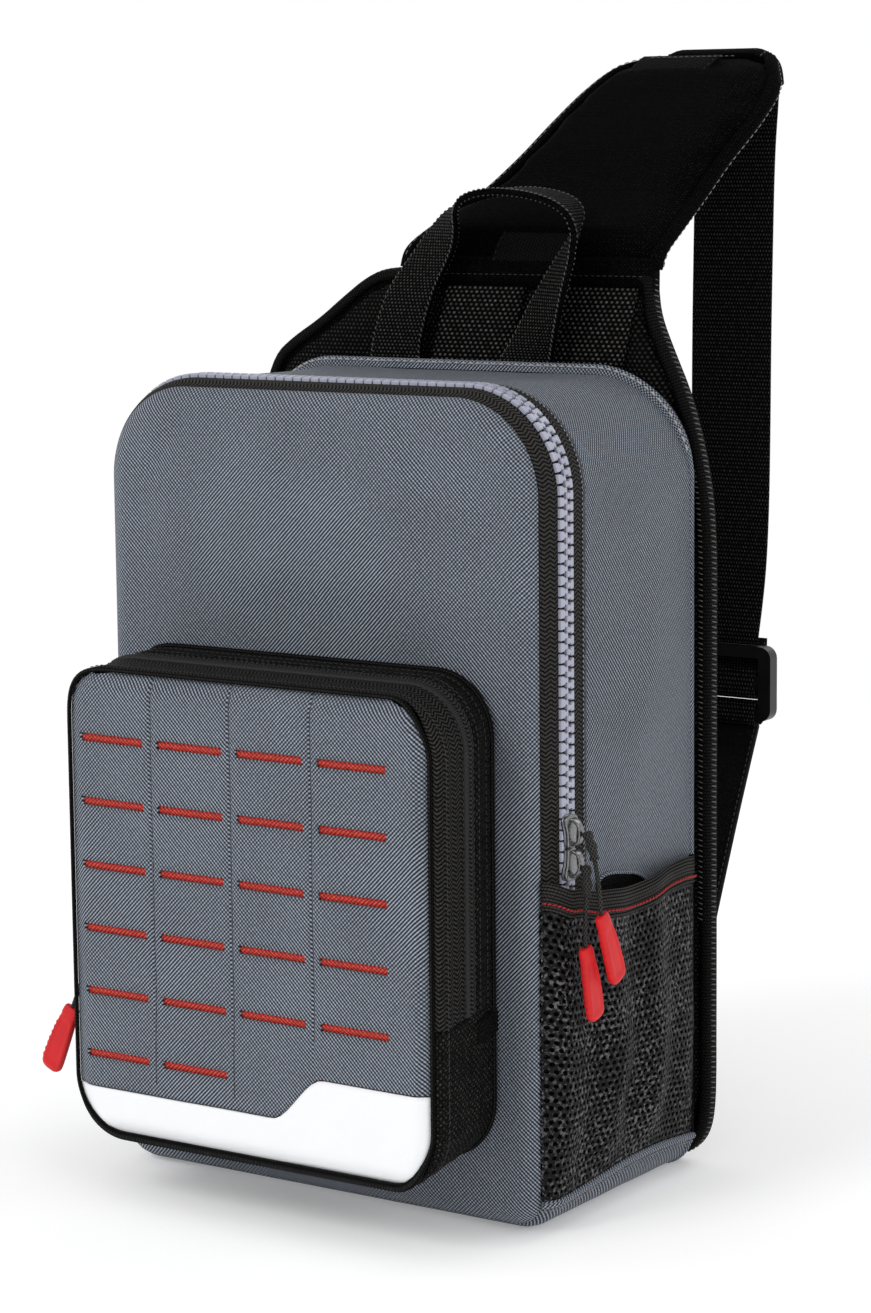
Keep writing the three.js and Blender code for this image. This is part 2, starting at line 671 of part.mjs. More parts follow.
function backPanel() {
  const edge = bindingThickness + gap;
  const stations = panelOutline.map((_, i) => i);
  const profile = [
    { inset: edge + panelEdge, y: panelFront }, { inset: edge, y: panelFront + panelEdge * 0.6 },
    { inset: edge, y: panelBack - panelEdge * 0.6 }, { inset: edge + panelEdge, y: panelBack },
  ];
  addPiece('back_panel', loft(profile.map(({ inset, y }) => stations.map((i) => panelPoint(i, inset, y)))),
    'blackFabric');
  const middle = (panelFront + panelBack) / 2;
  const half = bindingWidth / 2;
  const section = [
    { inset: 0.8, y: middle - half }, { inset: 0, y: middle - half * 0.6 },
    { inset: 0, y: middle + half * 0.6 }, { inset: 0.8, y: middle + half },
    { inset: bindingThickness, y: middle + half * 0.7 }, { inset: bindingThickness, y: middle - half * 0.7 },
  ];
  const rings = stations.map((i) => section.map(({ inset, y }) => panelPoint(i, inset, y)));
  addPiece('back_panel_binding', loft(rings, true), 'blackWebbing');
}

// A ribbon along rows, each with its centre, the way its width runs, its half width and its thickness.
// A level row lies square to Z, where the ribbon stands on something.
function ribbon(rows) {
  return loft(rows.map(({ centre, across, half, thickness, level }, i) => {
    const before = rows[Math.max(0, i - 1)].centre;
    const after = rows[Math.min(rows.length - 1, i + 1)].centre;
    const way = after.clone().sub(before).normalize();
    const normal = new THREE.Vector3().crossVectors(across, way).normalize();
    const [w, t] = [half, thickness / 2];
    const chamfer = Math.min(t, w);
    return [[-w, -t / 2], [-w + chamfer, -t], [w - chamfer, -t], [w, -t / 2], [w, t / 2], [w - chamfer, t],
      [-w + chamfer, t], [-w, t / 2]]
      .map(([a, b]) => centre.clone().addScaledVector(across, a).addScaledVector(normal, b))
      .map((point) => (level ? point.setZ(centre.z) : point));
  }));
}

// Handle: an arch that leans right, whose webbing turns from flat against the bag to flat on top.
const handleTable = [
  { side: -0.5, high: 0, turn: 0 }, { side: -0.49, high: 0.12, turn: 0.02 },
  { side: -0.44, high: 0.28, turn: 0.04 }, { side: -0.362, high: 0.446, turn: 0.08 },
  { side: -0.197, high: 0.65, turn: 0.21 }, { side: -0.108, high: 0.776, turn: 0.36 },
  { side: -0.02, high: 0.885, turn: 0.58 }, { side: 0.15, high: 0.965, turn: 0.85 },
  { side: 0.387, high: 1, turn: 1 }, { side: 0.64, high: 0.985, turn: 0.97 },
  { side: 0.83, high: 0.94, turn: 0.9 }, { side: 0.925, high: 0.87, turn: 0.8 },
  { side: 0.935, high: 0.77, turn: 0.67 }, { side: 0.895, high: 0.68, turn: 0.58 },
  { side: 0.852, high: 0.6, turn: 0.5 }, { side: 0.738, high: 0.4, turn: 0.355 },
  { side: 0.626, high: 0.2, turn: 0.2 }, { side: 0.54, high: 0.08, turn: 0.06 },
  { side: 0.5, high: 0, turn: 0 },
];

function handle() {
  const footHeight = bodyHeight + gap;
  const rows = handleTable.map(({ side, high, turn }) => {
    const angle = (turn * Math.PI) / 2;
    const half = handleWidth / 2;
    const y = handleFootY - half * Math.sin(angle) + handleLean * high * high;
    return {
      centre: new THREE.Vector3(handleCentre + side * handleSpan, y, footHeight + high * handleRise),
      across: new THREE.Vector3(Math.cos(angle), -Math.sin(angle), 0),
      half,
      thickness: handleThickness,
      level: high === 0,
    };
  });
  addPiece('grab_handle', ribbon(rows), 'blackWebbing');
}

// Middle of each yoke webbing at its lower and upper end, as shares of the panel's half width
const yokeTable = [
  { name: 'yoke_webbing_left', low: -0.0136, high: 0.068 },
  { name: 'yoke_webbing_right', low: 0.477, high: 0.545 },
];

function yokeWebbing() {
  const y = panelFront - gap - yokeWebbingThickness / 2;
  const [bottom, top] = [bodyHeight + gap, panelHeight - bindingThickness - panelEdge];
  yokeTable.forEach(({ name, low, high }) => {
    const rows = [[low, bottom], [(low + high) / 2, (bottom + top) / 2], [high, top]].map(([x, z]) => ({
      centre: new THREE.Vector3(x * panelHalfWidth, y, z),
      across: new THREE.Vector3(1, 0, 0),
      half: yokeWebbingWidth / 2,
      thickness: yokeWebbingThickness,
    }));
    addPiece(name, ribbon(rows), 'blackWebbing');
  });
}

// Stations of the padded strap: reach back and rise as shares, and its two edges as shares of its width.
const strapTable = [
  { reach: 0, rise: 0, left: -0.34, right: 0.745, thick: 0.8 },
  { reach: 0.03, rise: 0.09, left: -0.31, right: 0.753, thick: 1 },
  { reach: 0.15, rise: 0.2, left: -0.235, right: 0.765, thick: 1 },
  { reach: 0.31, rise: 0.33, left: -0.155, right: 0.775, thick: 1 },
  { reach: 0.47, rise: 0.51, left: -0.075, right: 0.811, thick: 1 },
  { reach: 0.65, rise: 0.69, left: -0.012, right: 0.852, thick: 1 },
  { reach: 0.81, rise: 0.845, left: 0.05, right: 0.86, thick: 0.95 },
  { reach: 0.92, rise: 0.95, left: 0.125, right: 0.812, thick: 0.85 },
  { reach: 1, rise: 1, left: 0.25, right: 0.77, thick: 0.6 },
];
const strapFootY = (panelFront + panelBack) / 2;
const strapFootHeight = panelHeight + gap;

function strapPlace({ reach, rise }) {
  return { y: strapFootY + reach * strapDepth, z: strapFootHeight + rise * strapRise };
}

const strapTip = strapPlace(strapTable.at(-1));
const webbingTop = { y: strapTip.y + strapFoldDepth + gap / 3, z: strapTip.z - 0.655 * strapFoldDepth };
const adjusterY = webbingTop.y - adjusterSetback;

function strap() {
  const across = new THREE.Vector3(1, 0, 0);
  const rows = strapTable.map((row) => {
    const { y, z } = strapPlace(row);
    return {
      centre: new THREE.Vector3(((row.left + row.right) / 2) * strapWidth, y, z),
      across,
      half: ((row.right - row.left) / 2) * strapWidth,
      thickness: strapThickness * row.thick,
      level: row.rise === 0,
    };
  });
  addPiece('shoulder_strap', ribbon(rows), 'blackFabric');
  const tacks = [{ name: 'bar_tack_lower', at: 3, x: 0.234 }, { name: 'bar_tack_upper', at: 5, x: 0.349 }];
  tacks.forEach(({ name, at, x }) => {
    const [before, here, after] = [rows[at - 1].centre, rows[at].centre, rows[at + 1].centre];
    const way = new THREE.Vector3(0, after.y - before.y, after.z - before.z).normalize();
    const lift = strapThickness / 2 + gap + barTackThickness / 2 + 0.4;
    const tack = new THREE.BoxGeometry(barTackLength, 2.4, barTackThickness);
    const piece = addPiece(name, tack, 'redFabric');
    piece.rotation.x = Math.atan2(way.z, way.y);
    piece.position.set(x * strapWidth, here.y - way.z * lift, here.z + way.y * lift);
  });
}

function strapEnd() {
  const across = new THREE.Vector3(1, 0, 0);
  const centre = ((strapTable.at(-1).left + strapTable.at(-1).right) / 2) * strapWidth;
  const before = strapPlace(strapTable.at(-2));
  const slope = Math.atan2(strapTip.z - before.z, strapTip.y - before.y);
  const [reach, rise] = [Math.cos(slope), Math.sin(slope)];
  const clear = (gap * 1.5) / strapFoldDepth;
  const foldTable = [
    { back: clear * reach, down: -clear * rise }, { back: 0.17 * reach, down: -0.17 * rise },
    { back: 0.535, down: -0.138 }, { back: 0.862, down: 0.12 }, { back: 1, down: 0.6 },
  ];
  const fold = foldTable.map(({ back, down }) => ({
    centre: new THREE.Vector3(centre, strapTip.y + back * strapFoldDepth, strapTip.z - down * strapFoldDepth),
    across,
    half: strapEndWidth / 2,
    thickness: strapEndThickness,
  }));
  addPiece('strap_end_fold', ribbon(fold), 'blackFabric');
  const bottom = adjusterTop + gap;
  const webbingTable = [
    { back: 1, high: 1 }, { back: 0.867, high: 0.95 }, { back: 0.667, high: 0.8 }, { back: 0.633, high: 0.4 },
    { back: 0.467, high: 0.15 }, { back: 0, high: 0 },
  ];
  const webbing = webbingTable.map(({ back, high }) => {
    const x = webbingCentre - 0.05 * webbingWidth * (1 - high);
    const y = adjusterY + back * adjusterSetback;
    return {
      centre: new THREE.Vector3(x, y, bottom + high * (webbingTop.z - bottom)),
      across,
      half: webbingWidth / 2,
      thickness: webbingThickness,
    };
  });
  addPiece('strap_webbing', ribbon(webbing), 'blackWebbing');
}

function adjuster() {
  const half = adjusterWidth / 2;
  const corner = 5;
  const frame = new THREE.Shape();
  frame.moveTo(-half + corner, 0);
  frame.lineTo(half - corner, 0);
  frame.absarc(half - corner, corner, corner, -Math.PI / 2, 0);
  frame.absarc(half - corner, adjusterHeight - corner, corner, 0, Math.PI / 2);
  frame.absarc(-half + corner, adjusterHeight - corner, corner, Math.PI / 2, Math.PI);
  frame.absarc(-half + corner, corner, corner, Math.PI, 1.5 * Math.PI);
  const slotHigh = (adjusterHeight - 3 * adjusterBar) / 2;
  const slotWide = webbingWidth + 2;
  [adjusterBar, 2 * adjusterBar + slotHigh].forEach((low) => {
    const slot = new THREE.Path();
    slot.moveTo(-slotWide / 2, low);
    slot.lineTo(slotWide / 2, low);
    slot.lineTo(slotWide / 2, low + slotHigh);
    slot.lineTo(-slotWide / 2, low + slotHigh);
    frame.holes.push(slot);
  });
  const options = { depth: adjusterThickness, bevelEnabled: false, curveSegments: 3 };
  const geometry = new THREE.ExtrudeGeometry(frame, options);
  geometry.rotateX(Math.PI / 2).translate(0, adjusterThickness / 2, 0);
  const piece = addPiece('strap_adjuster', geometry, 'buckle');
  piece.position.set(webbingCentre - 1, adjusterY, adjusterTop - adjusterHeight);
}

// The wing is sewn low on the back panel and runs up and back to the adjuster.
function lowerWing() {
  const right = panelHalfWidth * 0.95;
  const tip = webbingCentre - 1 + webbingWidth / 2;
  const top = adjusterTop - adjusterHeight - 0.6 * wingThickness;
  const base = panelBack + gap + wingThickness / 2;
  const wingTable = [
    { reach: 0, high: 0 }, { reach: 0, high: 0.175 }, { reach: 0.1, high: 0.263 },
    { reach: 0.5, high: 0.603 }, { reach: 0.8, high: 0.844 }, { reach: 1, high: 1 },
  ];
  const rows = wingTable.map(({ reach, high }) => {
    const width = wingBaseWidth + (webbingWidth - wingBaseWidth) * reach;
    const edge = right + (tip - right) * reach;
    const z = wingBottom + high * (top - wingBottom);
    return {
      centre: new THREE.Vector3(edge - width / 2, base + reach * (adjusterY - base), z),
      across: new THREE.Vector3(1, 0, 0),
      half: width / 2,
      thickness: wingThickness,
    };
  });
  addPiece('strap_lower_wing', ribbon(rows), 'blackFabric');
}

frontPanel();
gusset();
mainZip();
mainPulls();
pocketSides();
pocketFacePieces();
pocketPull();
meshPocket();
backPanel();
handle();
yokeWebbing();
strap();
strapEnd();
adjuster();
lowerWing();

export default group;
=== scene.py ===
import math

import bmesh
import bpy
from bpy.props import FloatProperty, FloatVectorProperty, PointerProperty
from bpy.types import Operator, Panel, PropertyGroup
from mathutils import Matrix, Vector, noise


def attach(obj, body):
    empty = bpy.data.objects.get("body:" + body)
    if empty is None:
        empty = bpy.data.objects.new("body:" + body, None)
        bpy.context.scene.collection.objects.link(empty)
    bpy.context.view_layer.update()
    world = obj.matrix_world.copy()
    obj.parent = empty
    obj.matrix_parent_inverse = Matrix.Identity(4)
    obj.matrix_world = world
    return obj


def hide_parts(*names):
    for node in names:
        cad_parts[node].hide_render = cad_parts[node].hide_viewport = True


bl_info = {
    "name": "Tackle sling bag",
    "version": (1, 0, 0),
    "blender": (4, 5, 0),
    "location": "3D View > Sidebar > Sling bag",
    "description": "Builds the cloth, webbing, zips and trims of a fishing tackle sling bag round its solids",
    "category": "Object",
}

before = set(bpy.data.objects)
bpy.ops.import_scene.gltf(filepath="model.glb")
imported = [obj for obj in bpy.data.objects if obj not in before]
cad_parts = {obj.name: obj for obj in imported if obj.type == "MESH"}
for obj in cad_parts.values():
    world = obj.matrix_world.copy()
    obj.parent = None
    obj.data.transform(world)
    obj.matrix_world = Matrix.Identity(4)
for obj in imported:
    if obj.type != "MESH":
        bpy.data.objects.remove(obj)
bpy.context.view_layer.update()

# Lengths below are millimetres in the frame's own axes: the front faces -Y and the floor is Z = 0
MM = 0.001
GAP = 0.3

# Body, as the solids have it
BODY_WIDTH, BODY_HEIGHT = 208.0, 323.0
BODY_FRONT, BODY_BACK = -58.0, 57.0
TOP_RADIUS, BOTTOM_RADIUS, SHOULDER = 40.0, 15.0, 12.0
PANEL_TURN, TAPE_END, CHAIN_END, REAR_TAPE_END = 10.2, 19.8, 28.4, 37.2
ZIP_END = 126.0
BODY_CLOTH = 2.2
SHOULDER_ARC = SHOULDER * math.pi / 2
SKIN_END = SHOULDER_ARC + BODY_BACK - BODY_FRONT - SHOULDER

# Front pocket
POCKET_WIDTH, POCKET_BOTTOM, POCKET_HEIGHT, POCKET_RADIUS = 177.0, 25.0, 188.0, 24.0
POCKET_FRONT, POCKET_BACK = -104.0, -58.3
POCKET_NARROWING, POCKET_RISE = 5.0, 4.0
POCKET_ZIP_END = 88.0
POCKET_CLOTH = 1.4
SLOT_COLUMNS, SLOT_ROWS, LAST_ROW_COLUMNS = 4, 6, 2
SLOT_PITCH_X, SLOT_PITCH_Z = 38.1, 25.4
SLOT_LENGTH, SLOT_HEIGHT = 31.3, 3.4
SLOT_LEFT, SLOT_TOP = -80.6, 185.6

# Back panel, strap and webbing
PANEL_HALF, PANEL_HEIGHT, PANEL_FRONT, PANEL_BACK = 110.0, 363.0, 57.3, 69.3
PANEL_MIDDLE = (PANEL_FRONT + PANEL_BACK) / 2
STRAP_FOOT_Y, STRAP_FOOT_Z, STRAP_DEPTH, STRAP_RISE, STRAP_WIDTH = 63.3, 363.3, 90.0, 84.0, 115.0
ADJUSTER_Y, ADJUSTER_TOP, ADJUSTER_HEIGHT = 150.0, 201.0, 32.0
WEBBING_X, WEBBING_HALF = 65.0, 19.0

# Camera: azimuth, elevation and roll in degrees, the rest in millimetres and pixels
VIEW_AZIMUTH, VIEW_ELEVATION, VIEW_ROLL = 33.96, 8.51, -0.59
VIEW_DISTANCE, VIEW_TARGET = 1402.0, (16.7, 2.0, 210.8)
PICTURE_HEIGHT, FOCAL_PIXELS, SENSOR = 1313, 3500, 36.0

# Free cords, from the slider's bridge to the grip, and the point where each grip ends
CORDS = {
    "main_pull_cord_upper": {
        "route": [(113.9, -41.51, 157.0), (116.59, -41.51, 149.99), (118.9, -41.39, 137.99),
                  (119.78, -40.88, 125.59)],
        "grip_end": (120.2, -29.42, 98.0),
        "facing": (1, 0, 0),
    },
    "main_pull_cord_lower": {
        "route": [(113.9, -42.02, 144.01), (114.91, -43.19, 135.95), (115.08, -44.2, 126.03),
                  (114.99, -44.62, 113.16)],
        "grip_end": (115.2, -37.6, 83.99),
        "facing": (1, 0, 0),
    },
    "pocket_pull_cord": {
        "route": [(-95.64, -81.4, 98.5), (-96.98, -81.7, 91.0), (-100.17, -82.8, 81.02),
                  (-104.29, -84.02, 69.39)],
        "grip_end": (-116.97, -84.02, 41.96),
        "facing": (0, -1, 0),
    },
}
CORD_DIAMETER = 2.2


class BagSizes(PropertyGroup):
    weave_pitch: FloatProperty(
        name="Weave pitch", description="Width of one thread of the grey cloth",
        default=0.00085, min=0.0002, unit="LENGTH")
    tooth_pitch: FloatProperty(
        name="Tooth pitch", description="From one tooth to the next on the same side of the main zip",
        default=0.0042, min=0.002, unit="LENGTH")
    stitch_pitch: FloatProperty(
        name="Stitch pitch", description="From one stitch to the next",
        default=0.0033, min=0.0015, unit="LENGTH")
    thread_diameter: FloatProperty(
        name="Thread diameter", description="Thickness of the sewing thread",
        default=0.00055, min=0.0002, unit="LENGTH")
    mesh_cell: FloatProperty(
        name="Mesh cell", description="Width of one cell of the side pocket's net",
        default=0.0029, min=0.002, unit="LENGTH")
    wrinkle_depth: FloatProperty(
        name="Wrinkle depth", description="How far the soft dents of the grey cloth go",
        default=0.0011, min=0.0, unit="LENGTH")
    pad_pressure: FloatProperty(
        name="Pad pressure", description="Cloth pressure that fills the padded pieces",
        default=4.0, min=0.0)
    pad_travel: FloatProperty(
        name="Pad travel", description="The most that a point of a padded piece may move as it fills",
        default=0.0035, min=0.0, unit="LENGTH")


def colour(name, description, default):
    return FloatVectorProperty(
        name=name, description=description, default=default, size=3, min=0.0, max=1.0, subtype="COLOR")


class BagColours(PropertyGroup):
    # grey_gap_shade is painted shade, near black, for the hollows between threads; grey_thread_lit is the
    # thread's grey with painted light on its raised tops
    grey_thread_lit: colour("Grey, light thread", "The lighter thread of the grey cloth", (0.345, 0.39, 0.465))
    grey_gap_shade: colour("Grey, dark thread", "The darker thread of the grey cloth", (0.006, 0.0075, 0.011))
    black: colour("Black cloth", "Base of the black cloth and tape", (0.001, 0.001, 0.0011))
    # black_glint is a painted highlight: the colour painted on raised black threads where they catch the
    # light
    black_glint: colour("Black, raised thread", "Raised threads of the black webbing", (0.042, 0.04, 0.038))
    teeth: colour("Zip teeth", "Moulded teeth of the main zip", (0.36, 0.37, 0.46))
    red_cloth: colour("Red cloth", "Red cloth behind the slots, and the bar tacks", (0.50, 0.022, 0.018))
    red_rubber: colour("Red rubber", "Moulded grips on the pull cords", (0.60, 0.012, 0.015))
    white: colour("White panel", "Light panel of the front pocket", (0.84, 0.85, 0.87))
    thread: colour("Light thread", "Pale sewing thread", (0.20, 0.20, 0.205))
    metal: colour("Slider metal", "Nickel of the sliders", (0.36, 0.36, 0.37))
    floor: colour("Floor", "Floor and backdrop", (0.965, 0.965, 0.965))


def sizes():
    return bpy.context.scene.bag_sizes


def colours():
    return bpy.context.scene.bag_colours


# Plain shapes


def away_from(obj, centre):
    """Turns the faces so that they look away from a point, in millimetres."""
    middle = Vector(centre) * MM
    side = sum((p.center - middle).dot(p.normal) * p.area for p in obj.data.polygons)
    if side < 0:
        obj.data.flip_normals()


def piece(name, points, faces, finish, uvs=None, centre=None, thickness=0.0, smooth=True, node=None,
          slot=None):
    """A new mesh that rides on the bag and stands for a solid if node names one. Its slot is not used.

    uvs holds one pair in millimetres for each face corner.
    """
    data = bpy.data.meshes.new(name)
    data.from_pydata([(p[0] * MM, p[1] * MM, p[2] * MM) for p in points], [], faces)
    layer = data.uv_layers.new(name="weave")
    if uvs:
        layer.data.foreach_set("uv", [value for uv in uvs for value in uv])
    data.polygons.foreach_set("use_smooth", [smooth] * len(data.polygons))
    data.materials.append(finish)
    obj = bpy.data.objects.new(name, data)
    bpy.context.scene.collection.objects.link(obj)
    if centre is not None:
        away_from(obj, centre)
    if thickness:
        solid = obj.modifiers.new("Thickness", "SOLIDIFY")
        solid.thickness = thickness * MM
        solid.offset = -1.0
        solid.use_quality_normals = True
    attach(obj, "root")
    if node:
        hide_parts(node)
    return obj


def lengths_along(points, closed):
    """Distance along a line of points, with one more value where it closes on itself."""
    reach = [0.0]
    ring = list(points) + ([points[0]] if closed else [])
    for a, b in zip(ring, ring[1:]):
        reach.append(reach[-1] + (Vector(b) - Vector(a)).length)
    return reach


def grid(name, rows, finish, wrap_rows=False, wrap_cols=False, us=None, vs=None, caps=False, **rest):
    """A sheet or tube through rows of points. caps closes both ends of a tube."""
    high, wide = len(rows), len(rows[0])
    us = us or lengths_along(rows[high // 2], wrap_cols)
    vs = vs or lengths_along([row[wide // 2] for row in rows], wrap_rows)
    faces, uvs = [], []
    for i in range(high if wrap_rows else high - 1):
        for j in range(wide if wrap_cols else wide - 1):
            i2, j2 = (i + 1) % high, (j + 1) % wide
            faces.append((i * wide + j, i * wide + j2, i2 * wide + j2, i2 * wide + j))
            uvs += [(us[j], vs[i]), (us[j + 1], vs[i]), (us[j + 1], vs[i + 1]), (us[j], vs[i + 1])]
    if caps:
        for start, flip in ((0, True), ((high - 1) * wide, False)):
            ring = [start + j for j in range(wide)]
            faces.append(tuple(reversed(ring)) if flip else tuple(ring))
            uvs += [(us[j], vs[0] if flip else vs[high - 1]) for j in range(wide)]
    points = [point for row in rows for point in row]
    return piece(name, points, faces, finish, uvs, **rest)


def filled(rows, steps):
    """Rows of numbers with smooth rows set between them."""
    out = []
    for i in range(len(rows) - 1):
        a, b, c, d = rows[max(0, i - 1)], rows[i], rows[i + 1], rows[min(len(rows) - 1, i + 2)]
        for k in range(steps):
            t = k / steps
            out.append([0.5 * (2 * q + (r - p) * t + (2 * p - 5 * q + 4 * r - s) * t * t
                               + (3 * q - p - 3 * r + s) * t ** 3) for p, q, r, s in zip(a, b, c, d)])
    out.append(list(rows[-1]))
    return out


def frames_along(points, closed):
    """A way along and two ways across at each point of a line, turned as little as may be."""
    count = len(points)
    ways = []
    for i in range(count):
        before = points[i - 1] if i or closed else points[0]
        after = points[(i + 1) % count] if i < count - 1 or closed else points[-1]
        ways.append((Vector(after) - Vector(before)).normalized())
    side = ways[0].orthogonal().normalized()
    out = []
    for way in ways:
        side = (side - way * side.dot(way)).normalized()
        out.append((way, side, way.cross(side)))
    return out


def tube(name, points, radius, finish, sides=10, closed=False, section=None, **rest):
    """A round rod along points. section(angle, share) may change its radius."""
    rows = []
    for i, (point, (_, a, b)) in enumerate(zip(points, frames_along(points, closed))):
        row = []
        for j in range(sides):
            angle = 2 * math.pi * j / sides
            r = radius * (section(angle, i / len(points)) if section else 1.0)
            row.append(Vector(point) + a * (r * math.cos(angle)) + b * (r * math.sin(angle)))
        rows.append(row)
    middle = None if closed else points[len(points) // 2]
    obj = grid(name, rows, finish, wrap_rows=closed, wrap_cols=True, caps=not closed, centre=middle, **rest)
    if closed:
        square_up(obj)
    return obj


def square_up(obj):
    """Makes all faces of a closed mesh look outwards."""
    work = bmesh.new()
    work.from_mesh(obj.data)
    bmesh.ops.recalc_face_normals(work, faces=work.faces)
    work.to_mesh(obj.data)
    work.free()


def walk(points, normals, pitch, closed):
    """Evenly spaced places along a line: point, way and normal."""
    ring = list(points) + ([points[0]] if closed else [])
    over = list(normals) + ([normals[0]] if closed else [])
    reach = lengths_along(points, closed)
    count = max(1, int(reach[-1] / pitch))
    out, k = [], 0
    for i in range(count):
        at = (i + 0.5) * reach[-1] / count
        while k < len(reach) - 2 and reach[k + 1] < at:
            k += 1
        share = (at - reach[k]) / max(1e-9, reach[k + 1] - reach[k])
        a, b = Vector(ring[k]), Vector(ring[k + 1])
        normal = Vector(over[k]).lerp(Vector(over[k + 1]), share).normalized()
        out.append((a.lerp(b, share), (b - a).normalized(), normal))
    return out


def add_rod(faces, start, rings, count):
    """Faces round rings of points that were added from start on, with both ends closed."""
    for i in range(rings - 1):
        for j in range(count):
            a, b = start + i * count + j, start + i * count + (j + 1) % count
            faces.append((a, b, b + count, a + count))
    faces.append(tuple(start + j for j in reversed(range(count))))
    faces.append(tuple(start + (rings - 1) * count + j for j in range(count)))


def add_stitch(points, faces, place, way, normal, length, radius, lean=0.0):
    """One stitch: a short rounded thread that lies on the cloth, added to lists of points and faces."""
    side = normal.cross(way).normalized()
    way = (way + side * lean).normalized()
    side = normal.cross(way).normalized()
    start = len(points)
    rings = ((-0.5, 0.35, -0.35), (-0.3, 0.9, 0.25), (0.0, 1.0, 0.45), (0.3, 0.9, 0.25), (0.5, 0.35, -0.35))
    for along, wide, lift in rings:
        for j in range(5):
            angle = 2 * math.pi * j / 5
            points.append(place + way * (along * length) + side * (radius * wide * math.cos(angle))
                          + normal * (radius * (lift + wide * math.sin(angle))))
    add_rod(faces, start, len(rings), 5)


def seam(name, runs, finish, pitch=None, length=0.68, lean=0.0, radius=None, **rest):
    """Rows of stitches as one piece. runs holds (points, normals, closed)."""
    pitch = pitch or sizes().stitch_pitch / MM
    radius = radius or sizes().thread_diameter / MM / 2
    points, faces = [], []
    for line, normals, closed in runs:
        for place, way, normal in walk(line, normals, pitch, closed):
            add_stitch(points, faces, place, way, normal, pitch * length, radius, lean)
    return piece(name, points, faces, finish, **rest)


CROSS_PITCH, CROSS_LEAN = 2.15, 0.25


def cross_stitches(name, line, normals, closed, length):
    """A row of threads laid across an edge, one after the other."""
    points, faces = [], []
    for place, way, normal in walk(line, normals, CROSS_PITCH, closed):
        across = (normal.cross(way).normalized() + way * CROSS_LEAN).normalized()
        add_stitch(points, faces, place, across, normal, length, 0.3)
    piece(name, points, faces, finish("edge_thread"), slot="black_webbing")


def dent(x, y, z, reach):
    """Smooth noise from -1 to 1 whose dents are about reach millimetres wide."""
    return noise.noise(Vector((x, y, z)) / reach)


# Outlines and the body's skin


def rounded(width, bottom, height, low_radius, high_radius, step, marks):
    """Places round a rounded rectangle, from the middle of its bottom up the right side and on round."""
    half, top = width / 2, bottom + height
    places = []

    def line(x0, z0, x1, z1, nx, nz, stops=()):
        span = abs(x1 - x0) + abs(z1 - z0)
        shares = [i / max(1, round(span / step)) for i in range(max(1, round(span / step)))]
        shares += [(stop - z0) / (z1 - z0) for stop in stops]
        clean = []
        for share in sorted(shares):
            if not clean or share - clean[-1] > 1e-4:
                clean.append(share)
        places.extend((x0 + (x1 - x0) * s, z0 + (z1 - z0) * s, nx, nz) for s in clean)

    def corner(x, z, radius, start):
        count = max(4, math.ceil(radius * math.pi / 2 / (0.6 * step)))
        for i in range(count):
            angle = start + math.pi / 2 * i / count
            nx, nz = math.cos(angle), math.sin(angle)
            places.append((x + radius * nx, z + radius * nz, nx, nz))

    line(0, bottom, half - low_radius, bottom, 0, -1)
    corner(half - low_radius, bottom + low_radius, low_radius, -math.pi / 2)
    line(half, bottom + low_radius, half, top - high_radius, 1, 0, marks)
    corner(half - high_radius, top - high_radius, high_radius, 0)
    line(half - high_radius, top, -half + high_radius, top, 0, 1)
    corner(-half + high_radius, top - high_radius, high_radius, math.pi / 2)
    line(-half, top - high_radius, -half, bottom + low_radius, -1, 0, marks)
    corner(-half + low_radius, bottom + low_radius, low_radius, math.pi)
    line(-half + low_radius, bottom, 0, bottom, 0, -1)
    return places


def body_outline(step):
    return rounded(BODY_WIDTH, 0, BODY_HEIGHT, BOTTOM_RADIUS, TOP_RADIUS, step, (ZIP_END,))


def zip_outline(step):
    return [place for place in body_outline(step) if place[1] >= ZIP_END - 1e-6]


def skin_place(along, depth=0.0):
    """How far out and how far back a place in the skin lies, along it from where the flat front ends."""
    if along < SHOULDER_ARC:
        turn, reach = along / SHOULDER, SHOULDER - depth
        return reach * math.sin(turn) - SHOULDER, BODY_FRONT + SHOULDER - reach * math.cos(turn)
    return -depth, BODY_FRONT + SHOULDER + along - SHOULDER_ARC


def skin_point(place, along, proud=0.0, extra=0.0):
    """A point on the body's skin, and proud of it."""
    x, z, nx, nz = place
    out, y = skin_place(along, -proud)
    return Vector((x + nx * (out + extra), y, z + nz * (out + extra)))


def skin_normal(place, along):
    turn = min(along / SHOULDER, math.pi / 2)
    return Vector((place[2] * math.sin(turn), -math.cos(turn), place[3] * math.sin(turn)))


def outward(places):
    """The ways that the places of an outline face."""
    return [Vector((place[2], 0, place[3])) for place in places]


# Finishes


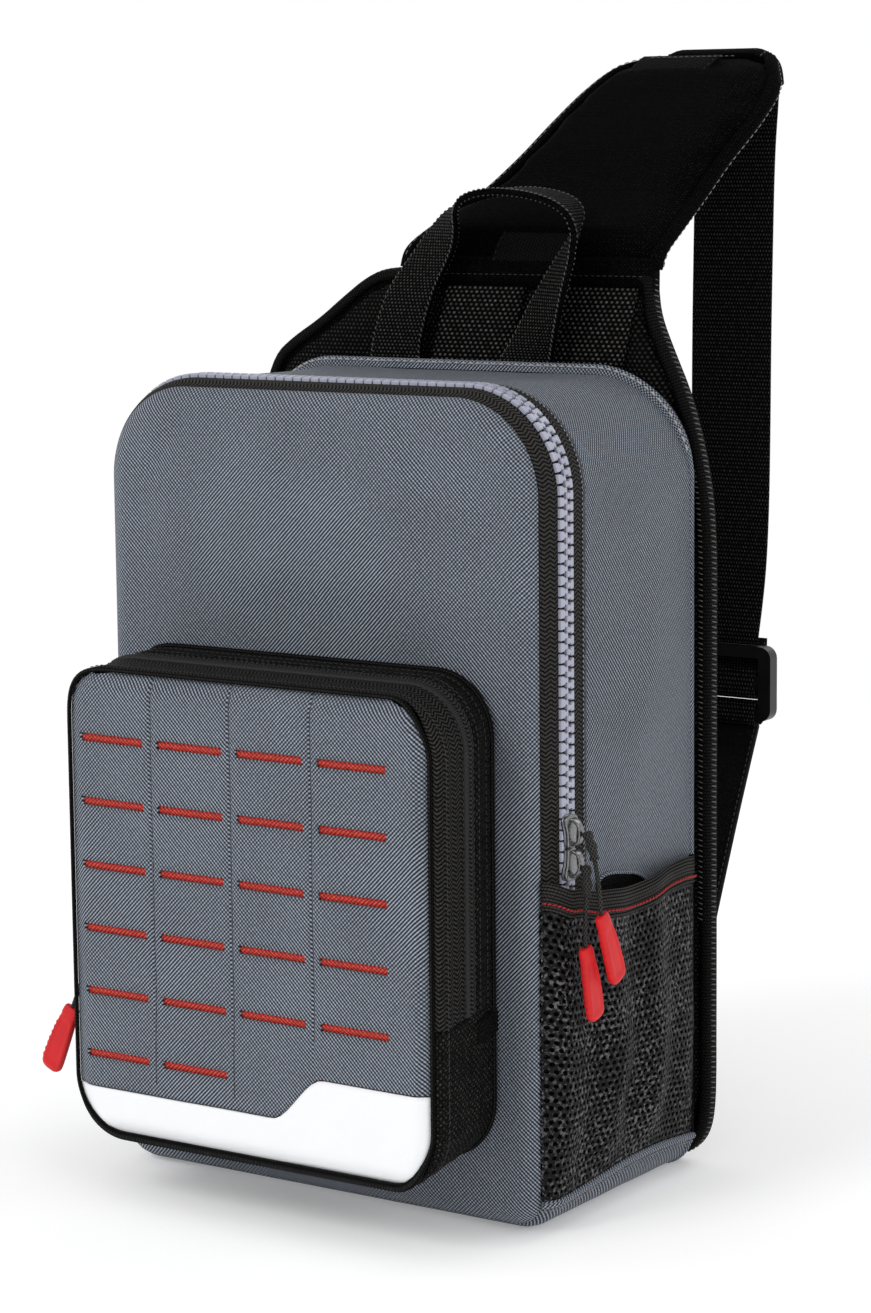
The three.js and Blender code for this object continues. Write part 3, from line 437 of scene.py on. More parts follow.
class Finish:
    """A material and the few steps that its nodes are made from."""

    def __init__(self, name, rough=0.8, metal=0.0, **sockets):
        self.material = bpy.data.materials.new(name)
        self.material.use_nodes = True
        self.tree = self.material.node_tree
        self.tree.nodes.clear()
        self.shader = self.node("ShaderNodeBsdfPrincipled")
        self.shader.inputs["Roughness"].default_value = rough
        self.shader.inputs["Metallic"].default_value = metal
        for socket, value in sockets.items():
            self.shader.inputs[socket.replace("_", " ")].default_value = value
        self.output = self.node("ShaderNodeOutputMaterial")
        self.join(self.shader.outputs[0], self.output.inputs[0])

    def node(self, kind, **settings):
        made = self.tree.nodes.new(kind)
        for setting, value in settings.items():
            setattr(made, setting, value)
        return made

    def join(self, a, b):
        self.tree.links.new(a, b)

    def math(self, operation, *values):
        made = self.node("ShaderNodeMath", operation=operation)
        for i, value in enumerate(values):
            if isinstance(value, (int, float)):
                made.inputs[i].default_value = value
            else:
                self.join(value, made.inputs[i])
        return made.outputs[0]

    def add(self, a, b):
        return self.math("ADD", a, b)

    def less(self, a, b):
        return self.math("SUBTRACT", a, b)

    def mul(self, a, b):
        return self.math("MULTIPLY", a, b)

    def div(self, a, b):
        return self.math("DIVIDE", a, b)

    def wave(self, value, pitch=1.0):
        """Humps from 0 to 1, one for each pitch of the value."""
        return self.math("ABSOLUTE", self.math("SINE", self.mul(value, math.pi / pitch)))

    def uv(self):
        """Millimetres across and along the cloth, from the mesh's own map."""
        split = self.node("ShaderNodeSeparateXYZ")
        self.join(self.node("ShaderNodeUVMap", uv_map="weave").outputs[0], split.inputs[0])
        return split.outputs[0], split.outputs[1]

    def place(self, scale=1000.0):
        """The place in space, in millimetres unless scale says otherwise."""
        coords = self.node("ShaderNodeTexCoord")
        grown = self.node("ShaderNodeVectorMath", operation="SCALE")
        self.join(coords.outputs["Object"], grown.inputs[0])
        grown.inputs["Scale"].default_value = scale
        return grown.outputs[0]

    def vector(self, x, y, z=0.0):
        made = self.node("ShaderNodeCombineXYZ")
        for i, value in enumerate((x, y, z)):
            if isinstance(value, (int, float)):
                made.inputs[i].default_value = value
            else:
                self.join(value, made.inputs[i])
        return made.outputs[0]

    def noise(self, vector, scale, detail=2.0, rough=0.5):
        made = self.node("ShaderNodeTexNoise")
        self.join(vector, made.inputs["Vector"])
        made.inputs["Scale"].default_value = scale
        made.inputs["Detail"].default_value = detail
        made.inputs["Roughness"].default_value = rough
        return made.outputs["Fac"]

    def spread(self, value, low, high, to_low=0.0, to_high=1.0):
        """A value stretched from one range to another and kept inside it."""
        made = self.node("ShaderNodeMapRange")
        self.join(value, made.inputs["Value"])
        for socket, number in (("From Min", low), ("From Max", high), ("To Min", to_low),
                               ("To Max", to_high)):
            made.inputs[socket].default_value = number
        return made.outputs[0]

    def mix(self, share, a, b):
        made = self.node("ShaderNodeMix", data_type="RGBA")
        for socket, value in ((made.inputs[0], share), (made.inputs[6], a), (made.inputs[7], b)):
            if isinstance(value, (int, float)):
                socket.default_value = value
            elif isinstance(value, bpy.types.NodeSocket):
                self.join(value, socket)
            else:
                socket.default_value = (*value, 1.0)
        return made.outputs[2]

    def paint(self, value):
        self.join(value, self.shader.inputs["Base Color"])

    def rough(self, value):
        self.join(value, self.shader.inputs["Roughness"])

    def bump(self, height, millimetres, strength=1.0):
        made = self.node("ShaderNodeBump")
        made.inputs["Strength"].default_value = strength
        made.inputs["Distance"].default_value = millimetres * MM
        self.join(height, made.inputs["Height"])
        self.join(made.outputs[0], self.shader.inputs["Normal"])

    def blacken(self, lit, glint):
        """Black cloth whose raised threads catch the light, painted as glints in its colour."""
        c = colours()
        self.paint(self.mix(self.mul(lit, glint), tuple(c.black), tuple(c.black_glint)))

    def relief(self, height, low, high, depth, strength):
        """Roughness and bump that follow a height, low where it is 0. Returns the material."""
        self.rough(self.spread(height, 0.0, 1.0, low, high))
        self.bump(height, depth, strength)
        return self.material


def shade(tint, factor):
    return tuple(min(1.0, channel * factor) for channel in tint)


def plain_weave(f, pitch):
    """Height of a plain weave, which thread is on top, and how each thread differs from the next."""
    u, v = f.uv()
    a, b = f.div(u, pitch), f.div(v, pitch)
    bumps = [f.wave(x) for x in (a, b)]
    height = f.math("POWER", f.mul(bumps[0], bumps[1]), 0.6)
    rows = f.add(f.math("FLOOR", a), f.math("FLOOR", b))
    on_top = f.math("FLOORED_MODULO", rows, 2.0)
    warp = f.noise(f.vector(f.math("FLOOR", a), f.mul(v, 0.05)), 0.9, 1.0)
    weft = f.noise(f.vector(f.mul(u, 0.05), f.math("FLOOR", b), 5.0), 0.9, 1.0)
    return height, on_top, f.add(warp, weft)


def diagonal_weave(f, pitch):
    """Raised threads of a plain weave, read as lines that slant either way, and how each differs."""
    u, v = f.uv()
    a, b = f.div(u, pitch), f.div(v, pitch)
    slant = f.math("COSINE", f.mul(f.less(a, b), math.pi))
    cross = f.math("COSINE", f.mul(f.add(a, b), math.pi))
    way = f.spread(f.noise(f.place(), 0.011, 0.0), 0.4, 0.62, 0.9, 0.25)
    both = f.add(f.mul(slant, way), f.mul(cross, f.less(1.0, way)))
    height = f.add(f.mul(both, 0.5), 0.5)
    line = f.noise(f.vector(f.math("ROUND", f.mul(f.less(a, b), 0.5)),
                            f.math("ROUND", f.mul(f.add(a, b), 0.5))), 0.83, 0.0)
    return height, line


def grey_cloth(name="grey_cloth", coarse=1.0, painted_light=1.0):
    c, pitch = colours(), sizes().weave_pitch / MM * coarse
    f = Finish(name, 0.7, Sheen_Weight=0.06, Sheen_Roughness=0.5, Specular_IOR_Level=0.22)
    height, thread = diagonal_weave(f, pitch)
    wear = f.noise(f.place(), 0.035, 3.0)
    # Painted light and shade: lit paints the raised threads light and the hollows between them near-black,
    # times each thread's own tone and a slow change over the cloth; painted_light lightens the whole copy
    lit = f.math("POWER", height, 2.2)
    lit = f.mul(lit, f.spread(thread, 0.3, 0.7, 0.86, 1.14))
    lit = f.mul(lit, f.spread(wear, 0.3, 0.7, 0.93, 1.06))
    f.paint(f.mix(lit, tuple(c.grey_gap_shade), shade(c.grey_thread_lit, painted_light)))
    return f.relief(height, 0.88, 0.6, 0.3, 0.9)


def black_cloth(name="black_cloth", pitch=0.9, glint=0.42, gloss=0.05):
    f = Finish(name, 0.75, Specular_IOR_Level=gloss)
    height, on_top, thread = plain_weave(f, pitch)
    # lit is a painted highlight: glints painted on the raised threads, brightest where a thread lies on top
    lit = f.mul(f.mul(height, f.spread(on_top, 0.0, 1.0, 0.15, 1.0)),
                 f.spread(thread, 0.75, 1.25, 0.4, 1.2))
    u, v = f.uv()
    lit = f.mul(lit, f.spread(f.noise(f.vector(u, v), 0.9, 2.0), 0.4, 0.68, 0.1, 1.6))
    f.blacken(lit, glint)
    return f.relief(height, 0.9, 0.55, 0.3, 0.9)


def ribbed_tape(name, rib, glint=0.6, across=False, glint_fleck=0.7):
    """Tape or webbing with ribs across or along it, each rib a row of raised threads with painted glints."""
    f = Finish(name, 0.7, Specular_IOR_Level=0.06)
    u, v = f.uv()
    run, other = (v, u) if across else (u, v)
    ribs = f.wave(run, rib)
    row = f.math("FLOOR", f.div(run, rib))
    shifted = f.add(other, f.mul(row, rib * 0.5))
    threads = f.wave(shifted, rib * 0.9)
    height = f.mul(ribs, f.spread(threads, 0.0, 1.0, 0.35, 1.0))
    # glint_specks break the painted glints on the ribs into specks
    glint_specks = f.spread(f.noise(f.vector(u, v), 1.1, 2.0), 0.35, 0.7, 1.0 - glint_fleck, 1.0)
    lit = f.mul(f.math("POWER", height, 1.6), glint_specks)
    f.blacken(lit, glint)
    return f.relief(height, 0.9, 0.5, 0.4, 0.9)


def herringbone(name, wide, glint):
    """Zip tape whose slanting threads turn back at every stripe, with glints painted on the raised threads.
    """
    f = Finish(name, 0.72, Specular_IOR_Level=0.06)
    u, v = f.uv()
    stripe = f.math("PINGPONG", u, wide)
    slant = f.add(f.mul(stripe, 0.6), v)
    height = f.wave(slant, 1.7)
    glint_specks = f.spread(f.noise(f.vector(u, v), 1.3, 2.0), 0.36, 0.66, 0.3, 1.8)
    lit = f.mul(f.math("POWER", height, 3.0), glint_specks)
    f.blacken(lit, glint)
    return f.relief(height, 0.88, 0.6, 0.22, 0.8)


def dotted_webbing(name="webbing", glint=0.62, across=2.5, along=1.8):
    """Heavy black webbing: staggered raised threads whose glints are painted in its colour as rows of dots.
    """
    c = colours()
    f = Finish(name, 0.6, Specular_IOR_Level=0.05)
    u, v = f.uv()
    b = f.div(v, along)
    row = f.math("FLOOR", b)
    a = f.add(f.div(u, across), f.mul(f.math("FLOORED_MODULO", row, 2.0), 0.5))
    wide = f.wave(a)
    high = f.wave(b)
    raised = f.mul(f.spread(wide, 0.6, 1.0), f.spread(high, 0.5, 1.0))
    which = f.noise(f.vector(f.math("FLOOR", a), row), 0.83, 0.0)
    lit = f.mul(raised, f.spread(which, 0.3, 0.7, 0.35, 1.25))
    f.paint(f.mix(f.mul(lit, glint), tuple(c.black), shade(c.black_glint, 4.5)))
    return f.relief(raised, 0.9, 0.5, 0.5, 0.9)


def red_cloth():
    c = colours()
    f = Finish("red_cloth", 0.6, Specular_IOR_Level=0.25)
    height, thread = diagonal_weave(f, 0.95)
    # Painted shade and highlight: the hollows of the weave are painted at a third of the red, the raised
    # threads in a bright highlight red
    lit = f.mul(height, f.spread(thread, 0.3, 0.7, 0.8, 1.15))
    f.paint(f.mix(f.math("POWER", lit, 1.4), shade(c.red_cloth, 0.35), (0.85, 0.085, 0.06)))
    f.bump(height, 0.3, 0.8)
    return f.material


def moulded(name, tint, rough, grain=0.35, depth=0.03, wear=0.06, **sockets):
    """Smooth moulded plastic, rubber or film with a fine grain and a little wear."""
    f = Finish(name, rough, **sockets)
    grains = f.noise(f.place(), 2.2, 3.0)
    worn = f.noise(f.place(), 0.12, 3.0)
    f.paint(f.mix(f.spread(worn, 0.3, 0.7, 0.0, 1.0), shade(tint, 1 - wear), shade(tint, 1 + 0.8 * wear)))
    f.rough(f.spread(grains, 0.3, 0.7, rough - grain * 0.2, rough + grain * 0.2))
    f.bump(grains, depth, 0.6)
    return f.material


def sewn(name, tint):
    """Twisted sewing thread."""
    f = Finish(name, 0.55, Specular_IOR_Level=0.25)
    grains = f.noise(f.place(), 2.5, 2.0)
    f.paint(f.mix(f.spread(grains, 0.3, 0.7), shade(tint, 0.6), shade(tint, 1.25)))
    f.bump(grains, 0.05, 0.7)
    return f.material


def net_thread():
    """Black knitted thread of the side pocket, with glints painted at its knots where it catches the light.
    """
    f = Finish("net", 0.5, Specular_IOR_Level=0.12)
    knots = f.spread(f.noise(f.place(), 0.62, 1.0), 0.5, 0.68)
    soft = f.spread(f.noise(f.place(), 0.045, 2.0), 0.35, 0.65, 0.35, 1.3)
    f.paint(f.mix(f.mul(knots, soft), (0.004, 0.004, 0.0045), (0.12, 0.12, 0.125)))
    f.bump(knots, 0.1, 0.7)
    return f.material


def braid():
    """Braided cord: threads that cross both ways, with a painted highlight on the raised threads."""
    c = colours()
    f = Finish("braided_cord", 0.6, Specular_IOR_Level=0.2)
    u, v = f.uv()
    a = f.math("SINE", f.mul(f.add(f.mul(u, 1.6), v), math.pi))
    b = f.math("SINE", f.mul(f.less(v, f.mul(u, 1.6)), math.pi))
    height = f.math("MAXIMUM", a, b)
    lit = f.spread(height, 0.2, 1.0)
    f.paint(f.mix(lit, tuple(c.black), shade(c.black_glint, 1.1)))
    f.bump(height, 0.15, 0.9)
    return f.material


def brushed_metal():
    c = colours()
    f = Finish("slider_metal", 0.26, 1.0)
    marks = f.noise(f.place(), 1.4, 4.0, 0.7)
    f.paint(f.mix(f.spread(marks, 0.3, 0.7), shade(c.metal, 0.3), shade(c.metal, 0.82)))
    f.rough(f.spread(marks, 0.3, 0.7, 0.2, 0.42))
    f.bump(marks, 0.03, 0.5)
    return f.material


def spacer_mesh():
    """Padded air mesh of the back: small round cells in staggered rows, painted shade in the cells and
    painted glints on the ridges.
    """
    c = colours()
    f = Finish("spacer_mesh", 0.85, Specular_IOR_Level=0.12)
    u, v = f.uv()
    a = f.math("SINE", f.mul(f.add(u, f.mul(v, 0.55)), math.pi / 1.7))
    b = f.math("SINE", f.mul(f.less(u, f.mul(v, 0.55)), math.pi / 1.7))
    cells = f.spread(f.mul(f.math("ABSOLUTE", a), f.math("ABSOLUTE", b)), 0.25, 0.65)
    f.paint(f.mix(cells, shade(c.black_glint, 1.5), shade(c.black, 0.6)))
    f.bump(cells, -0.6, 0.8)
    return f.material


THREADS = {
    "hem_thread": (0.36, 0.36, 0.37),
    "black_thread": (0.016, 0.016, 0.016),
    "dark_thread": (0.03, 0.03, 0.033),
    "edge_thread": (0.09, 0.088, 0.085),
    "red_thread": (0.36, 0.02, 0.022),
    # shaded_tack_thread is the bar tacks' red painted darker, as painted shade
    "shaded_tack_thread": (0.2, 0.012, 0.012),
}
FINISHES = {}


def finish(name):
    """One of the bag's finishes, made when it is first asked for."""
    if name not in FINISHES:
        c = colours()
        makers = {
            # grey_cloth, used on the front, the pocket's face and the hems, is painted 14% lighter than
            # side_cloth by painted_light, to make up for the key light falling less on the front
            "grey_cloth": lambda: grey_cloth(painted_light=1.14),
            "side_cloth": lambda: grey_cloth("side_cloth", 1.22),
            "black_cloth": black_cloth,
            "pocket_cloth": lambda: black_cloth("pocket_cloth", 1.3, 1.1),
            "strap_cloth": lambda: black_cloth("strap_cloth", 0.8, 0.2, 0.015),
            "zip_tape": lambda: herringbone("zip_tape", 2.4, 1.5),
            "wide_tape": lambda: herringbone("wide_tape", 3.0, 0.85),
            "binding": lambda: ribbed_tape("binding", 1.3, 0.35, across=True, glint_fleck=0.8),
            "ribbed": lambda: ribbed_tape("ribbed", 1.5, 0.6),
            "elastic": lambda: ribbed_tape("elastic", 1.6, 3.2, glint_fleck=0.6),
            "strap_ribs": lambda: ribbed_tape("strap_ribs", 1.5, 0.14),
            "strap_webbing": lambda: dotted_webbing("strap_webbing", 0.26, 1.4, 1.7),
            "webbing": dotted_webbing,
            "yoke_cloth": lambda: dotted_webbing("yoke_cloth", 0.22, 2.1, 1.7),
            "handle_webbing": lambda: dotted_webbing("handle_webbing", 0.42, 1.9, 1.5),
            "red_cloth": red_cloth,
            "teeth": lambda: moulded("teeth", c.teeth, 0.4, Coat_Weight=0.1, Coat_Roughness=0.3),
            "red_rubber": lambda: moulded("red_rubber", c.red_rubber, 0.5, Coat_Weight=0.04,
                                          Specular_IOR_Level=0.25),
            "white_film": lambda: moulded("white_film", c.white, 0.5, 0.1, 0.02, 0.008),
            "buckle": lambda: moulded("buckle", (0.004, 0.004, 0.0042), 0.36, Coat_Weight=0.1,
                                      Specular_IOR_Level=0.3),
            "light_thread": lambda: sewn("light_thread", c.thread),
            "net": net_thread,
            "braid": braid,
            "metal": brushed_metal,
            "spacer_mesh": spacer_mesh,
        }
        FINISHES[name] = sewn(name, THREADS[name]) if name in THREADS else makers[name]()
    return FINISHES[name]


# Stage and pulls


FLOOR_REACH, FLOOR_DROP, FADE_START, FADE_END = 1.5, 0.0006, 0.35, 1.3
HORIZON_LIGHT, OVERHEAD_LIGHT, FLOOR_GLOW = 1.0, 0.62, 0.2


class BAG_OT_stage(Operator):
    """Adds the floor, the soft lights and the camera"""

    bl_idname = "bag.stage"
    bl_label = "Stage"

    def execute(self, context):
        add_floor()
        add_world()
        add_lights()
        add_camera()
        return {"FINISHED"}


def add_floor():
    """A pale floor that fades out into the studio's light, so it has no edge."""
    f = Finish("floor", 0.9, Specular_IOR_Level=0.0)
    place = f.place(1.0)
    tint = tuple(colours().floor)
    f.paint(f.mix(f.noise(place, 3.0, 3.0), shade(tint, 0.99), tint))
    f.shader.inputs["Emission Color"].default_value = (1.0, 1.0, 1.0, 1.0)
    f.shader.inputs["Emission Strength"].default_value = FLOOR_GLOW
    away = f.node("ShaderNodeVectorMath", operation="LENGTH")
    f.join(place, away.inputs[0])
    fade = f.node("ShaderNodeMixShader")
    f.join(f.spread(away.outputs["Value"], FADE_START, FADE_END), fade.inputs[0])
    f.join(f.shader.outputs[0], fade.inputs[1])
    f.join(f.node("ShaderNodeBsdfTransparent").outputs[0], fade.inputs[2])
    f.join(fade.outputs[0], f.output.inputs[0])
    data = bpy.data.meshes.new("floor")
    corners = [(x * FLOOR_REACH, y * FLOOR_REACH, 0) for x, y in ((-1, -1), (1, -1), (1, 1), (-1, 1))]
    data.from_pydata(corners, [], [(0, 1, 2, 3)])
    data.materials.append(f.material)
    obj = bpy.data.objects.new("floor", data)
    bpy.context.scene.collection.objects.link(obj)
    obj.location.z = -FLOOR_DROP


def add_world():
    """Soft light from all round, brightest at the horizon."""
    world = bpy.data.worlds.new("studio")
    world.use_nodes = True
    tree = world.node_tree
    split = tree.nodes.new("ShaderNodeSeparateXYZ")
    tree.links.new(tree.nodes.new("ShaderNodeTexCoord").outputs["Generated"], split.inputs[0])
    ramp = tree.nodes.new("ShaderNodeMapRange")
    tree.links.new(split.outputs[2], ramp.inputs["Value"])
    for socket, value in (("From Min", 0.12), ("From Max", 0.8), ("To Min", HORIZON_LIGHT),
                          ("To Max", OVERHEAD_LIGHT)):
        ramp.inputs[socket].default_value = value
    background = tree.nodes["Background"]
    background.inputs[0].default_value = (1.0, 1.0, 1.0, 1.0)
    tree.links.new(ramp.outputs[0], background.inputs[1])
    bpy.context.scene.world = world
    bpy.context.scene.view_settings.view_transform = "Standard"


def add_lights():
    lamps = (
        ("key", (-0.7, -2.2, 2.0), 1.3, 24.0),
        ("side", (2.6, -1.2, 1.5), 1.2, 9.0),
        ("rim", (0.6, 2.2, 2.2), 1.4, 11.0),
    )
    for name, place, width, power in lamps:
        lamp = bpy.data.lights.new(name, "AREA")
        lamp.shape, lamp.size, lamp.energy = "DISK", width, power
        obj = bpy.data.objects.new(name, lamp)
        obj.location = place
        obj.rotation_euler = (Vector((0, 0, 0.2)) - Vector(place)).to_track_quat("-Z", "Y").to_euler()
        bpy.context.scene.collection.objects.link(obj)


def add_camera():
    a, e, r = (math.radians(x) for x in (VIEW_AZIMUTH, VIEW_ELEVATION, VIEW_ROLL))
    back = Vector((math.sin(a) * math.cos(e), -math.cos(a) * math.cos(e), math.sin(e)))
    level = Vector((math.cos(a), math.sin(a), 0))
    up = back.cross(level)
    right = level * math.cos(r) + up * math.sin(r)
    up = up * math.cos(r) - level * math.sin(r)
    camera = bpy.data.cameras.new("camera")
    camera.sensor_width = SENSOR
    camera.lens = SENSOR * FOCAL_PIXELS / PICTURE_HEIGHT
    camera.clip_start, camera.clip_end = 0.05, 50.0
    obj = bpy.data.objects.new("camera", camera)
    place = (Vector(VIEW_TARGET) + back * VIEW_DISTANCE) * MM
    turn = Matrix((right, up, back)).transposed().to_4x4()
    obj.matrix_world = Matrix.Translation(place) @ turn
    bpy.context.scene.collection.objects.link(obj)
    bpy.context.scene.camera = obj


GRIP_TABLE = [
    (0.0, 0.26, 0.5), (0.015, 0.33, 0.8), (0.1, 0.37, 0.95), (0.16, 0.36, 0.92), (0.3, 0.42, 1.0),
    (0.5, 0.47, 1.0), (0.75, 0.5, 1.0), (0.9, 0.49, 1.0), (0.965, 0.42, 0.88), (1.0, 0.28, 0.55),
]
GRIP_LENGTH, GRIP_WIDTH, GRIP_THICKNESS = 30.0, 10.0, 4.0


def grip(name, node, top, end, facing):
    """A moulded grip with a raised rim round its bare face and small teeth along one edge."""
    top, way = Vector(top), (Vector(end) - Vector(top)).normalized()
    side = way.cross(Vector(facing)).normalized()
    out = side.cross(way).normalized()
    rows = []
    for along, wide, thick in filled(GRIP_TABLE, 7):
        centre = top + way * (GAP + along * GRIP_LENGTH) + out * (0.5 * math.sin(math.pi * along))
        inner = min(1.0, max(0.0, (along - 0.17) * 12)) * min(1.0, max(0.0, (0.93 - along) * 14))
        row = []
        for j in range(28):
            angle = 2 * math.pi * j / 28
            c, s = math.cos(angle), math.sin(angle)
            w = math.copysign(abs(c) ** 0.6, c)
            t = math.copysign(abs(s) ** 0.6, s)
            deep = 1 - 0.3 * inner * (1 if abs(w) < 0.62 else 0)
            teeth = 0.5 * inner * max(0.0, w) ** 4 * max(0.0, math.sin(along * 2 * math.pi * 11))
            row.append(centre + side * (w * wide * GRIP_WIDTH + teeth)
                       + out * (t * deep * thick * GRIP_THICKNESS / 2))
        rows.append(row)
    obj = grid(name, rows, finish("red_rubber"), wrap_cols=True, caps=True,
               centre=top + way * GRIP_LENGTH / 2, node=node, slot="pull_grip")
    return obj


class BAG_OT_pulls(Operator):
    """Adds the free pull cords, each with the grip that it carries"""

    bl_idname = "bag.pulls"
    bl_label = "Pull cords and grips"

    def execute(self, context):
        for node, facts in CORDS.items():
            route = [Vector(point) for point in filled(facts["route"], 9)]
            held = grip(node.replace("cord", "handle"), node.replace("cord", "grip"), facts["route"][-1],
                        facts["grip_end"], facts["facing"])
            cord = tube(node + "_braid", route, CORD_DIAMETER / 2, finish("braid"), 16,
                        section=lambda angle, share: 1 - 0.3 * abs(math.cos(angle)) ** 6, node=node,
                        slot="pull_cord")
            knot = tube(node.replace("cord", "knot"), route[:13], 2.1, finish("braid"), 14,
                        section=lambda angle, share: 0.62 + 0.42 * abs(math.sin(2.5 * math.pi * share)),
                        slot="pull_cord")
        return {"FINISHED"}


# Body


def crease(x, z, line, width, depth):
    """Depth of a soft dent along a line of two points."""
    (x0, z0), (x1, z1) = line
    span = (x1 - x0) ** 2 + (z1 - z0) ** 2
    t = ((x - x0) * (x1 - x0) + (z - z0) * (z1 - z0)) / span
    near = min(1.0, max(0.0, t))
    away = math.hypot(x - x0 - near * (x1 - x0), z - z0 - near * (z1 - z0))
    return depth * math.exp(-(away / width) ** 2)


# Dents of the front's upper part, from the zip inwards: two points, width and depth
FRONT_CREASES = [
    (((-62, 308), (-78, 289)), 4.0, 1.3), (((-4, 308), (-12, 290)), 4.5, 1.1),
    (((12, 309), (20, 288)), 7.0, 0.9), (((40, 309), (58, 286)), 7.0, 1.2),
    (((70, 300), (84, 270)), 7.0, 0.9), (((-88, 296), (-80, 262)), 8.0, 0.8),
    (((-40, 240), (30, 232)), 12.0, 0.7),
]


def smooth_step(value):
    value = min(1.0, max(0.0, value))
    return value * value * (3 - 2 * value)


def front_depth(x, z):
    """How far the front stands out of its flat, in millimetres, negative inwards."""
    above = smooth_step((z - 220) / 30)
    beside = smooth_step((abs(x) - 88) / 8)
    room = max(above, beside * 0.3)
    fill = 2.4 * above * max(0.0, 1 - (x / 104) ** 2) * max(0.0, 1 - ((z - 262) / 60) ** 2)
    soft = sizes().wrinkle_depth / MM * (dent(x, 0, z, 46) + 0.5 * dent(x + 90, 7, z, 21))
    pressed = sum(crease(x, z, *line) for line in FRONT_CREASES)
    return fill + (soft - abs(sizes().wrinkle_depth / MM) * 0.6 * (1 - room)) * room - pressed * above


def front_cloth():
    places = body_outline(4.0)
    middle = BODY_HEIGHT / 2
    rows, flat = [], [skin_point(place, 0.0) for place in places]
    turn_steps = 5
    for i in range(turn_steps):
        along = PANEL_TURN * (1 - i / turn_steps)
        rows.append([skin_point(place, along) for place in places])
    rings = 40
    for i in range(rings):
        share = 1 - i / rings
        rows.append([Vector((p.x * share, p.y, middle + (p.z - middle) * share)) for p in flat])
    for row in rows[1:]:
        for p in row:
            edge = smooth_step(min(1.0, (BODY_FRONT + 1.2 - p.y) / 1.2 + 0.15))
            p.y -= front_depth(p.x, p.z) * edge
    wide = len(places)
    faces, uvs = [], []
    flat_map = [(p.x, p.z) for row in rows for p in row]
    for i, row in enumerate(rows[:turn_steps]):
        along = PANEL_TURN * (1 - i / turn_steps)
        for j, place in enumerate(places):
            flat_map[i * wide + j] = (flat[j].x + place[2] * along, flat[j].z + place[3] * along)
    for i in range(len(rows) - 1):
        for j in range(wide):
            corners = (i * wide + j, i * wide + (j + 1) % wide, (i + 1) * wide + (j + 1) % wide,
                       (i + 1) * wide + j)
            faces.append(corners)
            uvs += [flat_map[k] for k in corners]
    last = (len(rows) - 1) * wide
    faces.append(tuple(last + j for j in range(wide)))
    uvs += [flat_map[last + j] for j in range(wide)]
    piece("front_cloth", [p for row in rows for p in row], faces, finish("grey_cloth"), uvs,
          centre=(0, BODY_BACK, middle), thickness=BODY_CLOTH, node="front_panel", slot="grey_fabric")


SIDE_SWELL = 5.0


def side_swell(place, share):
    """The sides swell over the side pocket, most along a soft fold that runs down and forwards."""
    z, nx = place[1:3]
    rise = (z - ZIP_END) / (BODY_HEIGHT - TOP_RADIUS - ZIP_END)
    if abs(nx) < 0.99 or not 0 < rise < 1:
        return 0.0
    fold = 0.3 + 0.4 * rise
    across = share / fold if share < fold else (1 - share) / (1 - fold)
    across = 1 - math.sqrt((1 - across) ** 2 + 0.0081)
    return SIDE_SWELL * math.sin(math.pi * rise) * max(0.0, across)


def gusset_point(place, share, start, proud=0.0):
    """A point of the side cloth, from its seam at the zip to its rear edge, with its soft dents."""
    along = start + GAP + (SKIN_END - start - GAP) * share
    x, z, _, nz = place
    swell = side_swell(place, share)
    edge = math.sin(math.pi * share) ** 0.5
    soft = sizes().wrinkle_depth / MM * edge * (dent(x, along, z, 40) + 0.4 * dent(x, along + 50, z, 17))
    top = 1.3 * edge * max(0.0, nz)
    if z < 40:
        soft = -abs(soft) * 0.4
    return skin_point(place, along, 0.0, swell + soft * 0.8 - top + proud)


def gusset_start(place):
    return REAR_TAPE_END if place[1] > ZIP_END - 0.3 else PANEL_TURN


def gusset_cloth():
    places = rounded(BODY_WIDTH, 0, BODY_HEIGHT, BOTTOM_RADIUS, TOP_RADIUS, 4.5, (ZIP_END - 0.6, ZIP_END))
    steps = 26
    rows = [[gusset_point(place, j / steps, gusset_start(place)) for j in range(steps + 1)]
            for place in places]
    us = [PANEL_TURN + (SKIN_END - PANEL_TURN) * j / steps for j in range(steps + 1)]
    grid("gusset_cloth", rows, finish("side_cloth"), wrap_rows=True, us=us, centre=(0, 0, BODY_HEIGHT / 2),
         thickness=BODY_CLOTH, node="body_gusset", slot="grey_fabric")
    above = [place for place in places if place[1] > ZIP_END - 0.3]
    line = [gusset_point(place, 0.012, REAR_TAPE_END, 0.1) for place in above]
    normals = outward(above)
    seam("gusset_stitches", [(line, normals, False)], finish("edge_thread"), 1.7, 0.9, 0.35, radius=0.4,
         slot="grey_fabric")


HEM_WIDTH = 3.4


def back_hem():
    """The rolled hem near the back, which stands up in front of the handle, with its row of stitches."""
    places = body_outline(4.0)
    rows, line = [], []
    for place in places:
        above = max(0.0, place[3])
        start = SKIN_END - HEM_WIDTH - 7.0 * above
        stands = 1.5 + 2.4 * above
        row = []
        for j in range(9):
            angle = math.pi * j / 8
            along = start + HEM_WIDTH * (1 - math.cos(angle)) / 2
            row.append(skin_point(place, along, 0.0, stands * math.sin(angle) ** 0.8 - 0.6))
        rows.append(row)
        line.append(skin_point(place, start + 0.25, 0.0, stands * 0.55 - 0.2))
    grid("back_hem", rows, finish("grey_cloth"), wrap_rows=True, centre=(0, 0, BODY_HEIGHT / 2),
         slot="grey_fabric")
    top = [k for k, place in enumerate(places) if place[3] > 0.2]
    normals = outward([places[k] for k in top])
    seam("back_hem_stitches", [([line[k] for k in top], normals, False)], finish("hem_thread"), 3.6, 0.74,
         radius=0.5, slot="grey_fabric")


